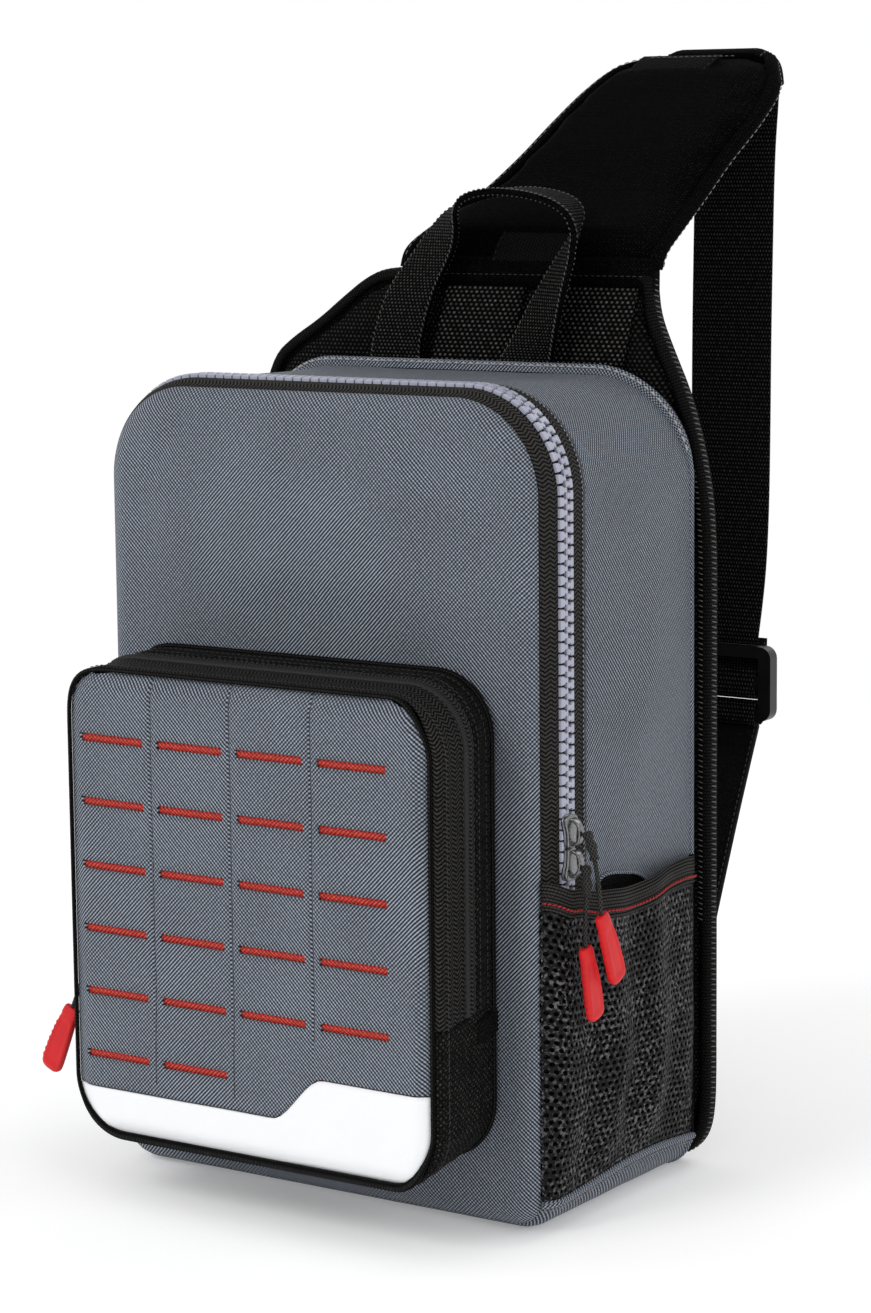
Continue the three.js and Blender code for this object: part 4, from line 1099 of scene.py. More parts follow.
def rear_joint():
    """The black cloth that joins the body to the padded back."""
    rows = []
    for place in body_outline(4.0):
        end = skin_point(place, SKIN_END, 0.0, -0.7)
        lift = 0.9 * max(0.0, -place[3])
        rows.append([Vector((end.x, y, max(end.z, 0.4) + lift))
                     for y in (BODY_BACK - 3, BODY_BACK, PANEL_FRONT + 2)])
    grid("rear_joint", rows, finish("black_cloth"), wrap_rows=True, centre=(0, 0, BODY_HEIGHT / 2),
         thickness=0.8, slot="black_fabric")


class BAG_OT_body(Operator):
    """Adds the grey cloth of the front, the sides, the top and the bottom"""

    bl_idname = "bag.body"
    bl_label = "Body cloth"

    def execute(self, context):
        front_cloth()
        gusset_cloth()
        rear_joint()
        back_hem()
        return {"FINISHED"}


# Main zip


TOOTH_PROFILE = [
    (0.0, -1.72), (2.0, -1.72), (2.5, -1.45), (3.1, -0.75), (3.7, -0.8), (4.3, -1.2), (5.1, -1.2),
    (5.65, -0.7), (5.65, 0.7), (5.1, 1.2), (4.3, 1.2), (3.7, 0.8), (3.1, 0.75), (2.5, 1.45), (2.0, 1.72),
    (0.0, 1.72),
]
TOOTH_REACH, TOOTH_MIDDLE = 0.86, 2.8


def add_tooth(points, faces, place, way, out, across):
    """One moulded tooth: across runs from its tape to the other side's."""
    start = len(points)
    for high, size in ((0.0, 1.0), (1.15, 1.0), (1.6, 0.82)):
        for a, b in TOOTH_PROFILE:
            reach = TOOTH_REACH * (TOOTH_MIDDLE + (a - TOOTH_MIDDLE) * size)
            points.append(place + across * reach + way * (b * size) + out * high)
    add_rod(faces, start, 3, len(TOOTH_PROFILE))


def zip_teeth():
    places = zip_outline(2.0)
    pitch = sizes().tooth_pitch / MM
    points, faces = [], []
    line = [skin_point(place, (TAPE_END + CHAIN_END) / 2) for place in places]
    reach = lengths_along(line, False)
    count = int(reach[-1] / (pitch / 2)) - 1
    k = 0
    for i in range(count):
        at = (i + 0.75) * reach[-1] / count
        while k < len(reach) - 2 and reach[k + 1] < at:
            k += 1
        share = min(1.0, (at - reach[k]) / max(1e-9, reach[k + 1] - reach[k]))
        a, b = places[k], places[k + 1]
        place = tuple(p + (q - p) * share for p, q in zip(a, b))
        size = math.hypot(place[2], place[3])
        place = (place[0], place[1], place[2] / size, place[3] / size)
        edge, towards = (TAPE_END - 0.2, 1) if i % 2 else (CHAIN_END + 0.2, -1)
        spot = skin_point(place, edge, 0.1)
        across = (skin_point(place, edge + towards, 0.1) - spot).normalized()
        out = skin_normal(place, edge)
        way = out.cross(across).normalized()
        add_tooth(points, faces, spot, way, out, across)
    square_up(piece("zip_teeth", points, faces, finish("teeth"), smooth=False, node="main_zip_chain",
                    slot="zip_teeth"))


def tape(name, node, start, end, steps):
    places = zip_outline(4.0)
    rows = []
    for place in places:
        rows.append([skin_point(place, start + (end - start) * j / steps,
                                0.35 * math.sin(math.pi * j / steps) ** 0.5 - 0.2) for j in range(steps + 1)])
    grid(name, rows, finish("zip_tape"), centre=(0, 0, BODY_HEIGHT / 2), thickness=1.0, node=node,
         slot="black_webbing")


SLIDER_OUTLINE = [
    (-0.5, 0.2), (-0.47, 0.3), (-0.2, 0.33), (0.05, 0.38), (0.2, 0.48), (0.33, 0.5), (0.45, 0.42),
    (0.5, 0.25),
]
SLIDER_BRIDGE = [(-0.36, 1.6), (-0.4, 3.6), (-0.3, 5.6), (-0.06, 6.3), (0.16, 5.9), (0.3, 4.6), (0.37, 3.0),
                 (0.36, 1.6)]


def slider(name, node, place, side, turned, length=12.5, width=9.0):
    """A zip slider: a shouldered body with a flat bridge over it, which holds the cord."""
    along = Vector((0, 0, -1 if turned else 1))
    out = Vector((side, 0, 0))
    across = out.cross(along)
    place = Vector(place)
    ring = SLIDER_OUTLINE + [(a, -b) for a, b in reversed(SLIDER_OUTLINE)]
    points, faces = [], []
    levels = ((0.0, 0.93), (0.35, 1.0), (1.0, 1.0), (1.15, 0.9), (1.5, 0.9), (1.65, 1.0), (2.35, 1.0),
              (2.7, 0.88))
    for high, size in levels:
        points += [place + along * (a * size * length) + across * (b * size * width) + out * high
                   for a, b in ring]
    add_rod(faces, 0, len(levels), len(ring))
    start = len(points)
    bar = filled(SLIDER_BRIDGE, 4)
    section = [(-1.7, -0.35), (-1.4, -0.6), (1.4, -0.6), (1.7, -0.35), (1.7, 0.35), (1.4, 0.6), (-1.4, 0.6),
               (-1.7, 0.35)]
    for i, (a, high) in enumerate(bar):
        before, after = bar[max(0, i - 1)], bar[min(len(bar) - 1, i + 1)]
        way = (along * ((after[0] - before[0]) * length) + out * (after[1] - before[1])).normalized()
        normal = across.cross(way)
        centre = place + along * (a * length) + out * high
        points += [centre + across * w * width / 9 + normal * t for w, t in section]
    add_rod(faces, start, len(bar), len(section))
    obj = piece(name, points, faces, finish("metal"))
    square_up(obj)
    edge = obj.modifiers.new("Edges", "BEVEL")
    edge.width, edge.segments, edge.limit_method = 0.2 * MM, 2, "ANGLE"
    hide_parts(node)


class BAG_OT_main_zip(Operator):
    """Adds the main zip's tapes, every tooth and both sliders"""

    bl_idname = "bag.main_zip"
    bl_label = "Main zip"

    def execute(self, context):
        middle = (TAPE_END + CHAIN_END) / 2
        tape("zip_tape_front", "main_zip_front_tape", PANEL_TURN, middle - 0.05, 6)
        tape("zip_tape_rear", "main_zip_rear_tape", middle + 0.05, REAR_TAPE_END + 0.5, 5)
        zip_teeth()
        slider("slider_upper", "main_slider_upper", (105.3, -41.85, 156.5), 1, False)
        slider("slider_lower", "main_slider_lower", (105.3, -41.85, 143.7), 1, True)
        return {"FINISHED"}


# Front pocket


def pocket_outline(step=4.0):
    marks = (POCKET_ZIP_END - 0.5, POCKET_ZIP_END)
    return rounded(POCKET_WIDTH, POCKET_BOTTOM, POCKET_HEIGHT, POCKET_RADIUS, POCKET_RADIUS, step, marks)


def tight_corner(x, z):
    """The pocket's upper left corner is sewn tighter than the others."""
    a, b = -x - POCKET_WIDTH / 2 + POCKET_RADIUS, z - POCKET_BOTTOM - POCKET_HEIGHT + POCKET_RADIUS
    if a <= 0 or b <= 0:
        return x, z
    size = math.hypot(a, b)
    grow = ((a / size) ** 3.4 + (b / size) ** 3.4) ** (-1 / 3.4) - 1
    return x - a * grow, z + b * grow


def pocket_point(place, y, proud):
    """A point on the pocket's sides, which narrow and rise a little towards the bag."""
    x, z, nx, nz = place
    share = (y - POCKET_FRONT) / (POCKET_BACK - POCKET_FRONT)
    inwards = POCKET_NARROWING * share * min(1.0, abs(x) / (POCKET_WIDTH / 2 - POCKET_RADIUS))
    x, z = tight_corner(x + nx * proud, z + nz * proud)
    return Vector((x - math.copysign(inwards, x), y, z + POCKET_RISE * share))


def pocket_strip(name, node, places, table, finish_name, wrap=False, slot="black_webbing"):
    """A strip round the pocket. table gives y and how proud it stands there."""
    rows = [[pocket_point(place, y, proud) for y, proud in table(place)] for place in places]
    us = max((lengths_along(row, False) for row in rows), key=lambda line: line[-1])
    return grid(name, rows, finish(finish_name), wrap_rows=wrap, us=us, centre=(0, -80, 120),
                thickness=POCKET_CLOTH, node=node, slot=slot)


DRAWN_IN, DRAWN_START, DRAWN_REACH = 4.6, 68.0, 19.3


def drawn_in(x):
    """How far the face is drawn in towards its right side, where the tape rolls round to the front."""
    return DRAWN_IN * smooth_step((x - DRAWN_START) / DRAWN_REACH)


def rolled_front(place):
    """The front of the pocket's sides, which rolls round to the edge of the face."""
    roll = drawn_in(place[0]) * max(0.0, place[2])
    return [(-99.6 - 0.24 * roll, -0.4 - 1.02 * roll), (-99.5 - 0.34 * roll, 0.0 - 0.62 * roll),
            (-98.9 - 0.2 * roll, 0.25 - 0.24 * roll)]


def pocket_sides():
    places = pocket_outline()
    above = [place for place in places if place[1] >= POCKET_ZIP_END - 1e-6]
    edge = [pocket_point(place, POCKET_FRONT + 2.6, -0.5 - drawn_in(place[0]))
            for place in pocket_outline(3.0)]

    def fullness(angle, share):
        return 1 + 0.9 * smooth_step((POCKET_BOTTOM + 16 - edge[round(share * len(edge))].z) / 14)

    tube("pocket_edge", edge, 0.9, finish("ribbed"), 12, closed=True, section=fullness, node="pocket_piping",
         slot="black_webbing")
    front = [(-96, 0.1), (-92, -0.3), (-88, -0.1), (-85.2, 0.05), (-84.3, 0.0), (-83.8, -0.2), (-83.6, -0.6)]
    rear = [(-79.9, -0.6), (-79.7, 0.5), (-78.6, 0.75), (-77, 0.65), (-75.9, 0.4), (-75.7, -0.5)]
    pocket_strip("pocket_tape_front", "pocket_zip_front_tape", above,
                 lambda place: rolled_front(place) + front, "wide_tape")
    pocket_strip("pocket_tape_rear", "pocket_zip_rear_tape", above, lambda place: rear, "zip_tape")
    upper = [(-75.5, -0.6), (-75.3, 0.4), (-73, 0.9), (-69.5, 0.9), (-66.6, 0.5), (-65.9, -0.2), (-65.2, 0.3),
             (-63.5, 0.5), (-62, 0.2), (-60, 0.2), (-58.6, 0.0)]
    lower = [(-87, 0.3), (-82, -0.2), (-77, 0.5), (-72, 0.4), (-67, 0.2),
             (-64, 0.4), (-61, 0.2), (-58.6, 0.0)]

    def gusset(place):
        soft = 0.8 * dent(place[0], 30, place[1], 30)
        rows = upper if place[1] > POCKET_ZIP_END - 0.3 else rolled_front(place) + lower
        return [(y, proud + soft * math.sin(math.pi * (y + 100) / 42) ** 2) for y, proud in rows]

    pocket_strip("pocket_sides", "pocket_gusset", places, gusset, "pocket_cloth", wrap=True,
                 slot="black_fabric")
    pocket_strip("pocket_back_edge", None, places, lambda place: [
        (-62.2, 0.2), (-61.9, 1.1), (-61.0, 1.5), (-60.0, 1.1), (-59.7, 0.2)], "ribbed", wrap=True)
    line = [pocket_point(place, -98.0, 0.4) for place in places]
    normals = outward(places)
    runs = [(line, normals, True)]
    over = outward(above)
    for y, proud in ((-84.9, 0.5), (-76.5, 0.65), (-66.2, 0.5), (-72.9, 0.95)):
        runs.append(([pocket_point(place, y, proud) for place in above], over, False))
    seam("pocket_stitches", runs, finish("dark_thread"), 2.6, radius=0.2, slot="black_webbing")


COIL_SECTION = ((-83.6, -0.7), (-83.2, 0.3), (-82.2, 0.85), (-80.9, 0.85), (-80.2, 0.3), (-79.8, -0.7))


def pocket_coil():
    """The pocket's closed coil: a ridge of small loops."""
    above = [place for place in pocket_outline(0.55) if place[1] >= POCKET_ZIP_END - 1e-6]
    rows = []
    for i, place in enumerate(above):
        swell = 0.32 * (1 if i % 3 else -1)
        rows.append([pocket_point(place, y, proud + (swell if 0 < k < 5 else 0))
                     for k, (y, proud) in enumerate(COIL_SECTION)])
    grid("pocket_coil", rows, finish("black_thread"), centre=(0, -80, 120), thickness=0.6,
         node="pocket_zip_coil", slot="black_webbing")


def pocket_patches():
    """The sewn patches that cover the two ends of the pocket's zip."""
    for side_name, side in (("right", 1), ("left", -1)):
        rows = []
        for i in range(7):
            z = POCKET_ZIP_END - 11 + 11 * i / 6 + 0.5
            place = (side * POCKET_WIDTH / 2, z - POCKET_RISE * 0.8, side, 0)
            lift = 1.4 if 0 < i < 6 else 0.3
            rows.append([pocket_point(place, y, lift * (1 if 0 < j < 6 else 0.3)) for j, y in enumerate(
                (-75.6, -75.0, -71, -67, -63, -59.4, -58.8))])
        grid(f"zip_patch_{side_name}", rows, finish("black_cloth"), centre=(0, -67, 80), thickness=1.0,
             node=f"pocket_zip_patch_{side_name}", slot="black_webbing")


def light_edge(x):
    """Height of the light panel's upper edge: low on the left, with a soft step up to the right."""
    return 45 + 18 * smooth_step((x - 10) / 24)


FACE_LOW, FACE_HIGH, FACE_HALF, FACE_RADIUS = 26.3, 211.8, 87.3, 22.7


def face_half(z):
    """Half the width of the pocket's face at a height."""
    low, high = FACE_LOW + FACE_RADIUS, FACE_HIGH - FACE_RADIUS
    drop = max(0.0, low - z, z - high)
    return FACE_HALF - FACE_RADIUS + math.sqrt(max(0.0, FACE_RADIUS ** 2 - drop * drop))


# Seams run up the face between the columns of slots
FACE_SEAMS = [SLOT_LEFT + SLOT_LENGTH + 3.4 + SLOT_PITCH_X * column for column in range(3)]


def face_depth(x, z):
    """Where the pocket's face lies: rolled back at its rim and pressed in along the seams."""
    rim = min(face_half(z) - abs(x), z - FACE_LOW, FACE_HIGH - z)
    roll = 3.4 * (1 - smooth_step(rim / 10)) ** 1.8
    seams = sum(math.exp(-((x - line) / 0.7) ** 2) for line in FACE_SEAMS) * smooth_step((z - 60) / 30)
    soft = 0.5 * dent(x, 3, z, 36) * smooth_step(rim / 14)
    return POCKET_FRONT + 0.2 + roll + seams + soft


def slots():
    """The slots of the face: left, right, lower and upper edge."""
    out = []
    for row in range(SLOT_ROWS):
        for column in range(SLOT_COLUMNS if row < SLOT_ROWS - 1 else LAST_ROW_COLUMNS):
            x, z = SLOT_LEFT + SLOT_PITCH_X * column, SLOT_TOP - SLOT_PITCH_Z * row
            out.append((x, x + SLOT_LENGTH, z - SLOT_HEIGHT / 2, z + SLOT_HEIGHT / 2))
    return out


def between(stops, step):
    """The stops with even places set between them, no more than a step apart."""
    out = []
    for a, b in zip(stops, stops[1:]):
        count = max(1, math.ceil((b - a) / step))
        out += [a + (b - a) * i / count for i in range(count)]
    return out + [stops[-1]]


def pocket_face():
    openings = slots()
    marks = {line + side for line in FACE_SEAMS for side in (-0.9, 0, 0.9)}
    ends = {-FACE_HALF, FACE_HALF} | {s[0] for s in openings} | {s[1] for s in openings}
    xs = between(sorted(ends | marks), 2.6)
    zs = between(sorted({45.3, 75.0, FACE_HIGH} | {s[2] for s in openings} | {s[3] for s in openings}), 2.8)
    index, points, faces, uvs = {}, [], [], []

    def spot(i, j):
        if (i, j) not in index:
            x, z = xs[i], zs[j]
            if z < 75:
                low = light_edge(x) + 0.3
                z = low + (z - 45.3) / (75 - 45.3) * (75 - low)
            half = face_half(z)
            if abs(x) > half:
                x = math.copysign(half, x)
            index[i, j] = len(points)
            points.append((*tight_corner(x - drawn_in(x), z), face_depth(x, z)))
        return index[i, j]

    for i in range(len(xs) - 1):
        for j in range(len(zs) - 1):
            x, z = (xs[i] + xs[i + 1]) / 2, (zs[j] + zs[j + 1]) / 2
            if any(a < x < b and c < z < d for a, b, c, d in openings) or abs(x) > face_half(z) + 0.2:
                continue
            corners = (spot(i, j), spot(i + 1, j), spot(i + 1, j + 1), spot(i, j + 1))
            faces.append(corners)
            uvs += [(points[k][0], points[k][1]) for k in corners]
    points = [(x, y, z) for x, z, y in points]
    rims = {}
    for a, b, c, d in openings:
        for k, (x, y, z) in enumerate(points):
            if a - 0.01 <= x <= b + 0.01 and (abs(z - c) < 0.01 or abs(z - d) < 0.01):
                rims[k] = 0.35 if abs(z - d) < 0.01 else -0.1
    points = [(x, y - rims.get(k, 0.0), z) for k, (x, y, z) in enumerate(points)]
    piece("pocket_face_cloth", points, faces, finish("grey_cloth"), uvs, centre=(0, 0, 120), thickness=1.3,
          node="pocket_face", slot="grey_fabric")
    runs = []
    for line, low in zip(FACE_SEAMS, (50.0, 50.0, 78.0)):
        places = [low + (FACE_HIGH - 4 - low) * k / 60 for k in range(61)]
        runs.append(([Vector((line, face_depth(line, z) - 0.1, z)) for z in places],
                     [Vector((0, -1, 0))] * 61, False))
    seam("pocket_face_seams", runs, finish("dark_thread"), 2.2, 0.92, radius=0.15, slot="grey_fabric")


def light_panel():
    columns, rows = 60, 14
    grid_rows = []
    for j in range(rows + 1):
        row = []
        for i in range(columns + 1):
            share = 2 * i / columns - 1
            high = light_edge(share * FACE_HALF) - 0.2
            z = FACE_LOW + (high - FACE_LOW) * j / rows
            x = share * face_half(z)
            row.append((x - drawn_in(x), face_depth(x, z) - 0.35 * smooth_step(j / 2), z))
        grid_rows.append(row)
    grid("light_panel", grid_rows, finish("white_film"), centre=(0, 0, 120), thickness=1.6,
         node="pocket_light_panel", slot="light_panel")


def slot_backing():
    """Red cloth behind the slots, pressed a little way into them."""
    openings = slots()
    xs = between([-83.0, 67.4], 3.0)
    zs = between(sorted({54.0, 190.5} | {(s[2] + s[3]) / 2 for s in openings}), 1.3)
    rows = []
    for z in zs:
        row = []
        for x in xs:
            near = min(abs(z - (s[2] + s[3]) / 2) for s in openings)
            row.append((x, max(face_depth(x, z), POCKET_FRONT) + 1.75 - 0.75 * math.exp(-(near / 1.2) ** 2),
                        z))
        rows.append(row)
    grid("slot_cloth", rows, finish("red_cloth"), centre=(0, 0, 120), thickness=0.5,
         node="pocket_slot_backing", slot="red_fabric")


class BAG_OT_pocket_face(Operator):
    """Adds the slotted face, the red cloth behind it and the light panel"""

    bl_idname = "bag.pocket_face"
    bl_label = "Pocket face"

    def execute(self, context):
        pocket_face()
        slot_backing()
        light_panel()
        return {"FINISHED"}


class BAG_OT_pocket_sides(Operator):
    """Adds the pocket's edge, its zip, its sides, its patches and its slider"""

    bl_idname = "bag.pocket_sides"
    bl_label = "Pocket sides"

    def execute(self, context):
        pocket_sides()
        pocket_coil()
        pocket_patches()
        slider("pocket_slider_body", "pocket_slider", (-87.24, -81.5, 99.0), -1, False, 10.0, 6.3)
        return {"FINISHED"}


# Side pocket


BAND_TABLE = [(0, 1), (0.12, 0.55), (0.28, 0.2), (0.5, 0), (0.72, 0.25), (0.88, 0.3), (1, 0.15)]
BAND_BASE, BAND_RISE, BAND_WIDTH = 119.6, 10.0, 9.0
NET_BOTTOM, NET_START, NET_DEPTH, NET_SEAM_RISE, NET_FOLD = 12.0, 9.6, 11.0, 4.0, 3.2


def band_bottom(along):
    along = min(1.0, max(0.0, along))
    k = next((i for i, row in enumerate(BAND_TABLE) if row[0] >= along), len(BAND_TABLE) - 1)
    if k == 0:
        return BAND_BASE + BAND_RISE * BAND_TABLE[0][1]
    (x0, r0), (x1, r1) = BAND_TABLE[k - 1], BAND_TABLE[k]
    return BAND_BASE + BAND_RISE * (r0 + (r1 - r0) * smooth_step((along - x0) / (x1 - x0)))


def net_point(along, up, z, proud):
    """A point of the side pocket: along from front to back, up from its seam to its edge."""
    here = min(1.0, max(0.0, along))
    seam_share = math.sin(math.pi * here) ** 0.6 if 0 < here < 1 else 0.0
    up = min(1.0, max(0.0, up))
    full = math.sin(0.5 * math.pi * min(1.0, 1.6 * up)) * (1 - 0.45 * up)
    folds = NET_FOLD * math.sin(7 * math.pi * here) * seam_share * (1 - 0.7 * up) * min(1.0, 4 * up)
    ruck = 2.6 * dent(here * 100, 5, up * 110, 21) * seam_share * min(1.0, 5 * up) * (1 - 0.8 * up)
    bulge = max(0.0, NET_DEPTH * seam_share * full + folds + ruck)
    out, y = skin_place(NET_START + here * (SKIN_END - 2 - NET_START), 0.0)
    lean = math.sin(min(1.0, (NET_START + here * 118) / SHOULDER_ARC) * math.pi / 2)
    return Vector((BODY_WIDTH / 2 + out + (GAP + bulge + proud) * lean, y - (GAP + proud) * (1 - lean), z))


def net_height(along, up):
    return (NET_BOTTOM + NET_SEAM_RISE * (1 - up) * math.sin(2.5 * along) ** 2
            + up * (band_bottom(along) - GAP - NET_BOTTOM))


def side_net():
    """The pocket's net: staggered cells, each a ring of thread round its hole."""
    wide, high = sizes().mesh_cell / MM, sizes().mesh_cell / MM * 0.95
    columns, rows = round(117 / wide), round(112 / high)
    points, faces, index = [], [], {}

    def spot(a, b):
        key = (round(a * 4), round(b * 4))
        if key not in index:
            along, up = min(1.0, max(0.0, a / columns)), b / rows
            index[key] = len(points)
            points.append(net_point(along, up, net_height(along, up), 0.4))
        return index[key]

    for j in range(rows):
        shift = 0.5 * (j % 2)
        for i in range(-1 if shift else 0, columns):
            left, right = i + shift, i + 1 + shift
            if right <= 0 or left >= columns:
                continue
            ring = [(left, j), (i + 0.5 + shift, j), (right, j), (right, j + 1), (i + 0.5 + shift, j + 1),
                    (left, j + 1)]
            outer = [spot(a, b) for a, b in ring]
            middle = (i + 0.5 + shift, j + 0.5)
            inner = []
            for k in range(6):
                angle = (-150 + 60 * k) * math.pi / 180
                a = middle[0] + 0.34 * math.cos(angle)
                b = middle[1] + 0.36 * math.sin(angle)
                along, up = min(1.0, max(0.0, a / columns)), b / rows
                inner.append(len(points))
                points.append(net_point(along, up, net_height(along, up), 0.4))
            for k in range(6):
                m = (k + 1) % 6
                if outer[k] != outer[m]:
                    faces.append((outer[k], outer[m], inner[m], inner[k]))
    obj = piece("side_net", points, faces, finish("net"), centre=(0, 0, 70), thickness=0.55,
                node="mesh_pocket", slot="side_mesh")


def net_shade_sheet():
    """A near-black sheet on the grey side cloth behind the net: painted shade that shows through its holes.
    """
    rows = []
    for j in range(13):
        up = 0.02 + 0.98 * j / 12
        row = []
        for i in range(41):
            place = (BODY_WIDTH / 2, net_height(i / 40, up), 1, 0)
            share = (NET_START + 0.8 + i / 40 * (SKIN_END - 4 - NET_START)
                     - PANEL_TURN) / (SKIN_END - PANEL_TURN)
            row.append(gusset_point(place, max(0.0, share), PANEL_TURN, 0.5))
        rows.append(row)
    grid("net_shade_sheet", rows, finish("black_cloth"), centre=(0, 0, 70), thickness=0.3, slot="black_fabric")


def side_band():
    """The elastic edge of the side pocket, its red stitches and the hem under them."""
    columns, rows = 60, 14
    ups = [j / rows for j in range(rows + 1)]

    def place(along, up, proud=0.0):
        z = band_bottom(along) - 2.2 + up * (BAND_WIDTH + 2.2)
        return net_point(along, 1.0 - 0.001 * up, z, 0.5 + proud)

    rows_out = []
    for i in range(columns + 1):
        along = i / columns
        rows_out.append([place(along, up, 0.55 * abs(math.sin(math.pi * 7 * up)) + 0.5) for up in ups])
    grid("side_band", rows_out, finish("elastic"), centre=(0, 0, 130), thickness=1.6, node="mesh_pocket_band",
         slot="black_webbing")
    count = 80
    line = [place(i / count, 0.26, 1.2) for i in range(count + 1)]
    normals = [Vector((1, 0, 0))] * (count + 1)
    seam("side_band_stitches", [(line, normals, False)], finish("red_thread"), 2.0, 0.78, 0.3, 0.46,
         slot="red_fabric")
    hem = [net_point(i / count, 0.0, net_height(i / count, 0.0), 0.6) for i in range(count + 1)]
    tube("side_net_hem", hem, 1.5, finish("grey_cloth"), 10, slot="grey_fabric")
    low = [net_point(i / count, 0.0, net_height(i / count, 0.0) - 2.2, 0.9) for i in range(count + 1)]
    seam("side_net_stitches", [(low, normals, False)], finish("light_thread"), 2.4, 0.75, radius=0.3,
         slot="grey_fabric")


def side_net_rear():
    """The black tape along the net's rear edge."""
    high = band_bottom(1.0) + BAND_WIDTH
    line = [gusset_point((BODY_WIDTH / 2, NET_BOTTOM + (high - NET_BOTTOM) * i / 24, 1, 0), 0.97,
                         REAR_TAPE_END, 0.3)
            for i in range(25)]
    tube("side_net_rear_tape", line, 1.3, finish("black_cloth"), 10, slot="black_fabric")


MOUTH_START, MOUTH_END, MOUTH_RISE, MOUTH_TUCK, MOUTH_BASE = 46.0, 84.0, 4.8, 5.5, 6.0


def pocket_mouth():
    """A near-black sheet where the grey cloth stands off the elastic edge, under its hem: painted shade in
    that gap.
    """
    rows, hem = [], []
    for i in range(33):
        s = i / 32
        along = MOUTH_START + (MOUTH_END - MOUTH_START) * s
        here = (along - NET_START) / (SKIN_END - 2 - NET_START)
        share = (along - REAR_TAPE_END) / (SKIN_END - REAR_TAPE_END)
        low = band_bottom(here) + BAND_WIDTH - MOUTH_TUCK
        rise = math.sin(math.pi * s ** 0.62) ** 0.9 * (1 - 0.25 * s)
        high = low + MOUTH_BASE * (1 - s ** 5) + MOUTH_RISE * rise
        rows.append([gusset_point((BODY_WIDTH / 2, low + (high - low) * j / 5, 1, 0), share, REAR_TAPE_END,
                                  0.3)
                     for j in range(6)])
        hem.append(gusset_point((BODY_WIDTH / 2, high, 1, 0), share, REAR_TAPE_END, 0.5))
    grid("pocket_mouth", rows, finish("black_cloth"), centre=(0, 0, 130), thickness=0.3, slot="black_fabric")
    tube("pocket_mouth_hem", hem, 0.75, finish("grey_cloth"), 8, slot="grey_fabric")


class BAG_OT_side_pocket(Operator):
    """Adds the net of the side pocket and its elastic edge"""

    bl_idname = "bag.side_pocket"
    bl_label = "Side pocket"

    def execute(self, context):
        net_shade_sheet()
        side_net()
        side_band()
        side_net_rear()
        pocket_mouth()
        return {"FINISHED"}


# Padded pieces


def take_shape(obj):
    """Replaces a mesh by what its modifiers make of it."""
    graph = bpy.context.evaluated_depsgraph_get()
    graph.update()
    made = bpy.data.meshes.new_from_object(obj.evaluated_get(graph))
    old = obj.data
    obj.modifiers.clear()
    obj.data = made
    bpy.data.meshes.remove(old)


def puff(obj, voxel, keep):
    """Fills a closed mesh like a pad: even faces, then cloth under pressure, with capped travel."""
    remesh = obj.modifiers.new("Even", "REMESH")
    remesh.mode, remesh.voxel_size = "VOXEL", voxel * MM
    take_shape(obj)
    start = [v.co.copy() for v in obj.data.vertices]
    scene = bpy.context.scene
    scene.frame_set(1)
    cloth = obj.modifiers.new("Fill", "CLOTH")
    cloth.settings.quality = 4
    cloth.settings.mass = 0.3
    cloth.settings.tension_stiffness = 20
    cloth.settings.compression_stiffness = 20
    cloth.settings.use_pressure = True
    cloth.settings.uniform_pressure_force = sizes().pad_pressure
    cloth.settings.effector_weights.gravity = 0
    cloth.point_cache.frame_start, cloth.point_cache.frame_end = 1, 20
    for step in range(1, 21):
        scene.frame_set(step)
    take_shape(obj)
    scene.frame_set(1)
    most = sizes().pad_travel
    for v, before in zip(obj.data.vertices, start):
        move = v.co - before
        if move.length > most:
            v.co = before + move * (most / move.length)
        v.co = keep(v.co / MM) * MM
    obj.data.polygons.foreach_set("use_smooth", [True] * len(obj.data.polygons))


def map_cloth(obj, across):
    """Writes the cloth's map from places in space: across(point, normal) gives millimetres both ways."""
    data = obj.data
    layer = data.uv_layers.get("weave") or data.uv_layers.new(name="weave")
    for poly in data.polygons:
        for k in poly.loop_indices:
            point = data.vertices[data.loops[k].vertex_index].co / MM
            layer.data[k].uv = across(point, poly.normal)


def pad(obj, voxel, keep, across, finishes, node):
    """Fills a closed mesh, maps its cloth and makes it stand for a padded solid."""
    puff(obj, voxel, keep)
    map_cloth(obj, across)
    obj.data.materials.clear()
    for name in finishes:
        obj.data.materials.append(finish(name))
    smooth = obj.modifiers.new("Smooth", "SUBSURF")
    smooth.levels = smooth.render_levels = 1
    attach(obj, "root")
    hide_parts(node)


PANEL_TABLE = [
    (0, 0), (0.78, 0), (0.9, 0.008), (0.975, 0.03), (1, 0.07), (1, 0.4), (1, 0.7), (0.985, 0.76),
    (0.952, 0.81), (0.898, 0.865), (0.82, 0.915), (0.77, 0.95), (0.757, 0.98), (0.757, 1), (0.15, 1),
    (-0.4, 1), (-0.5, 0.99), (-0.62, 0.965), (-0.73, 0.94), (-0.86, 0.917), (-0.95, 0.895), (-1, 0.85),
    (-1, 0.4), (-1, 0.07), (-0.975, 0.03), (-0.9, 0.008), (-0.78, 0),
]


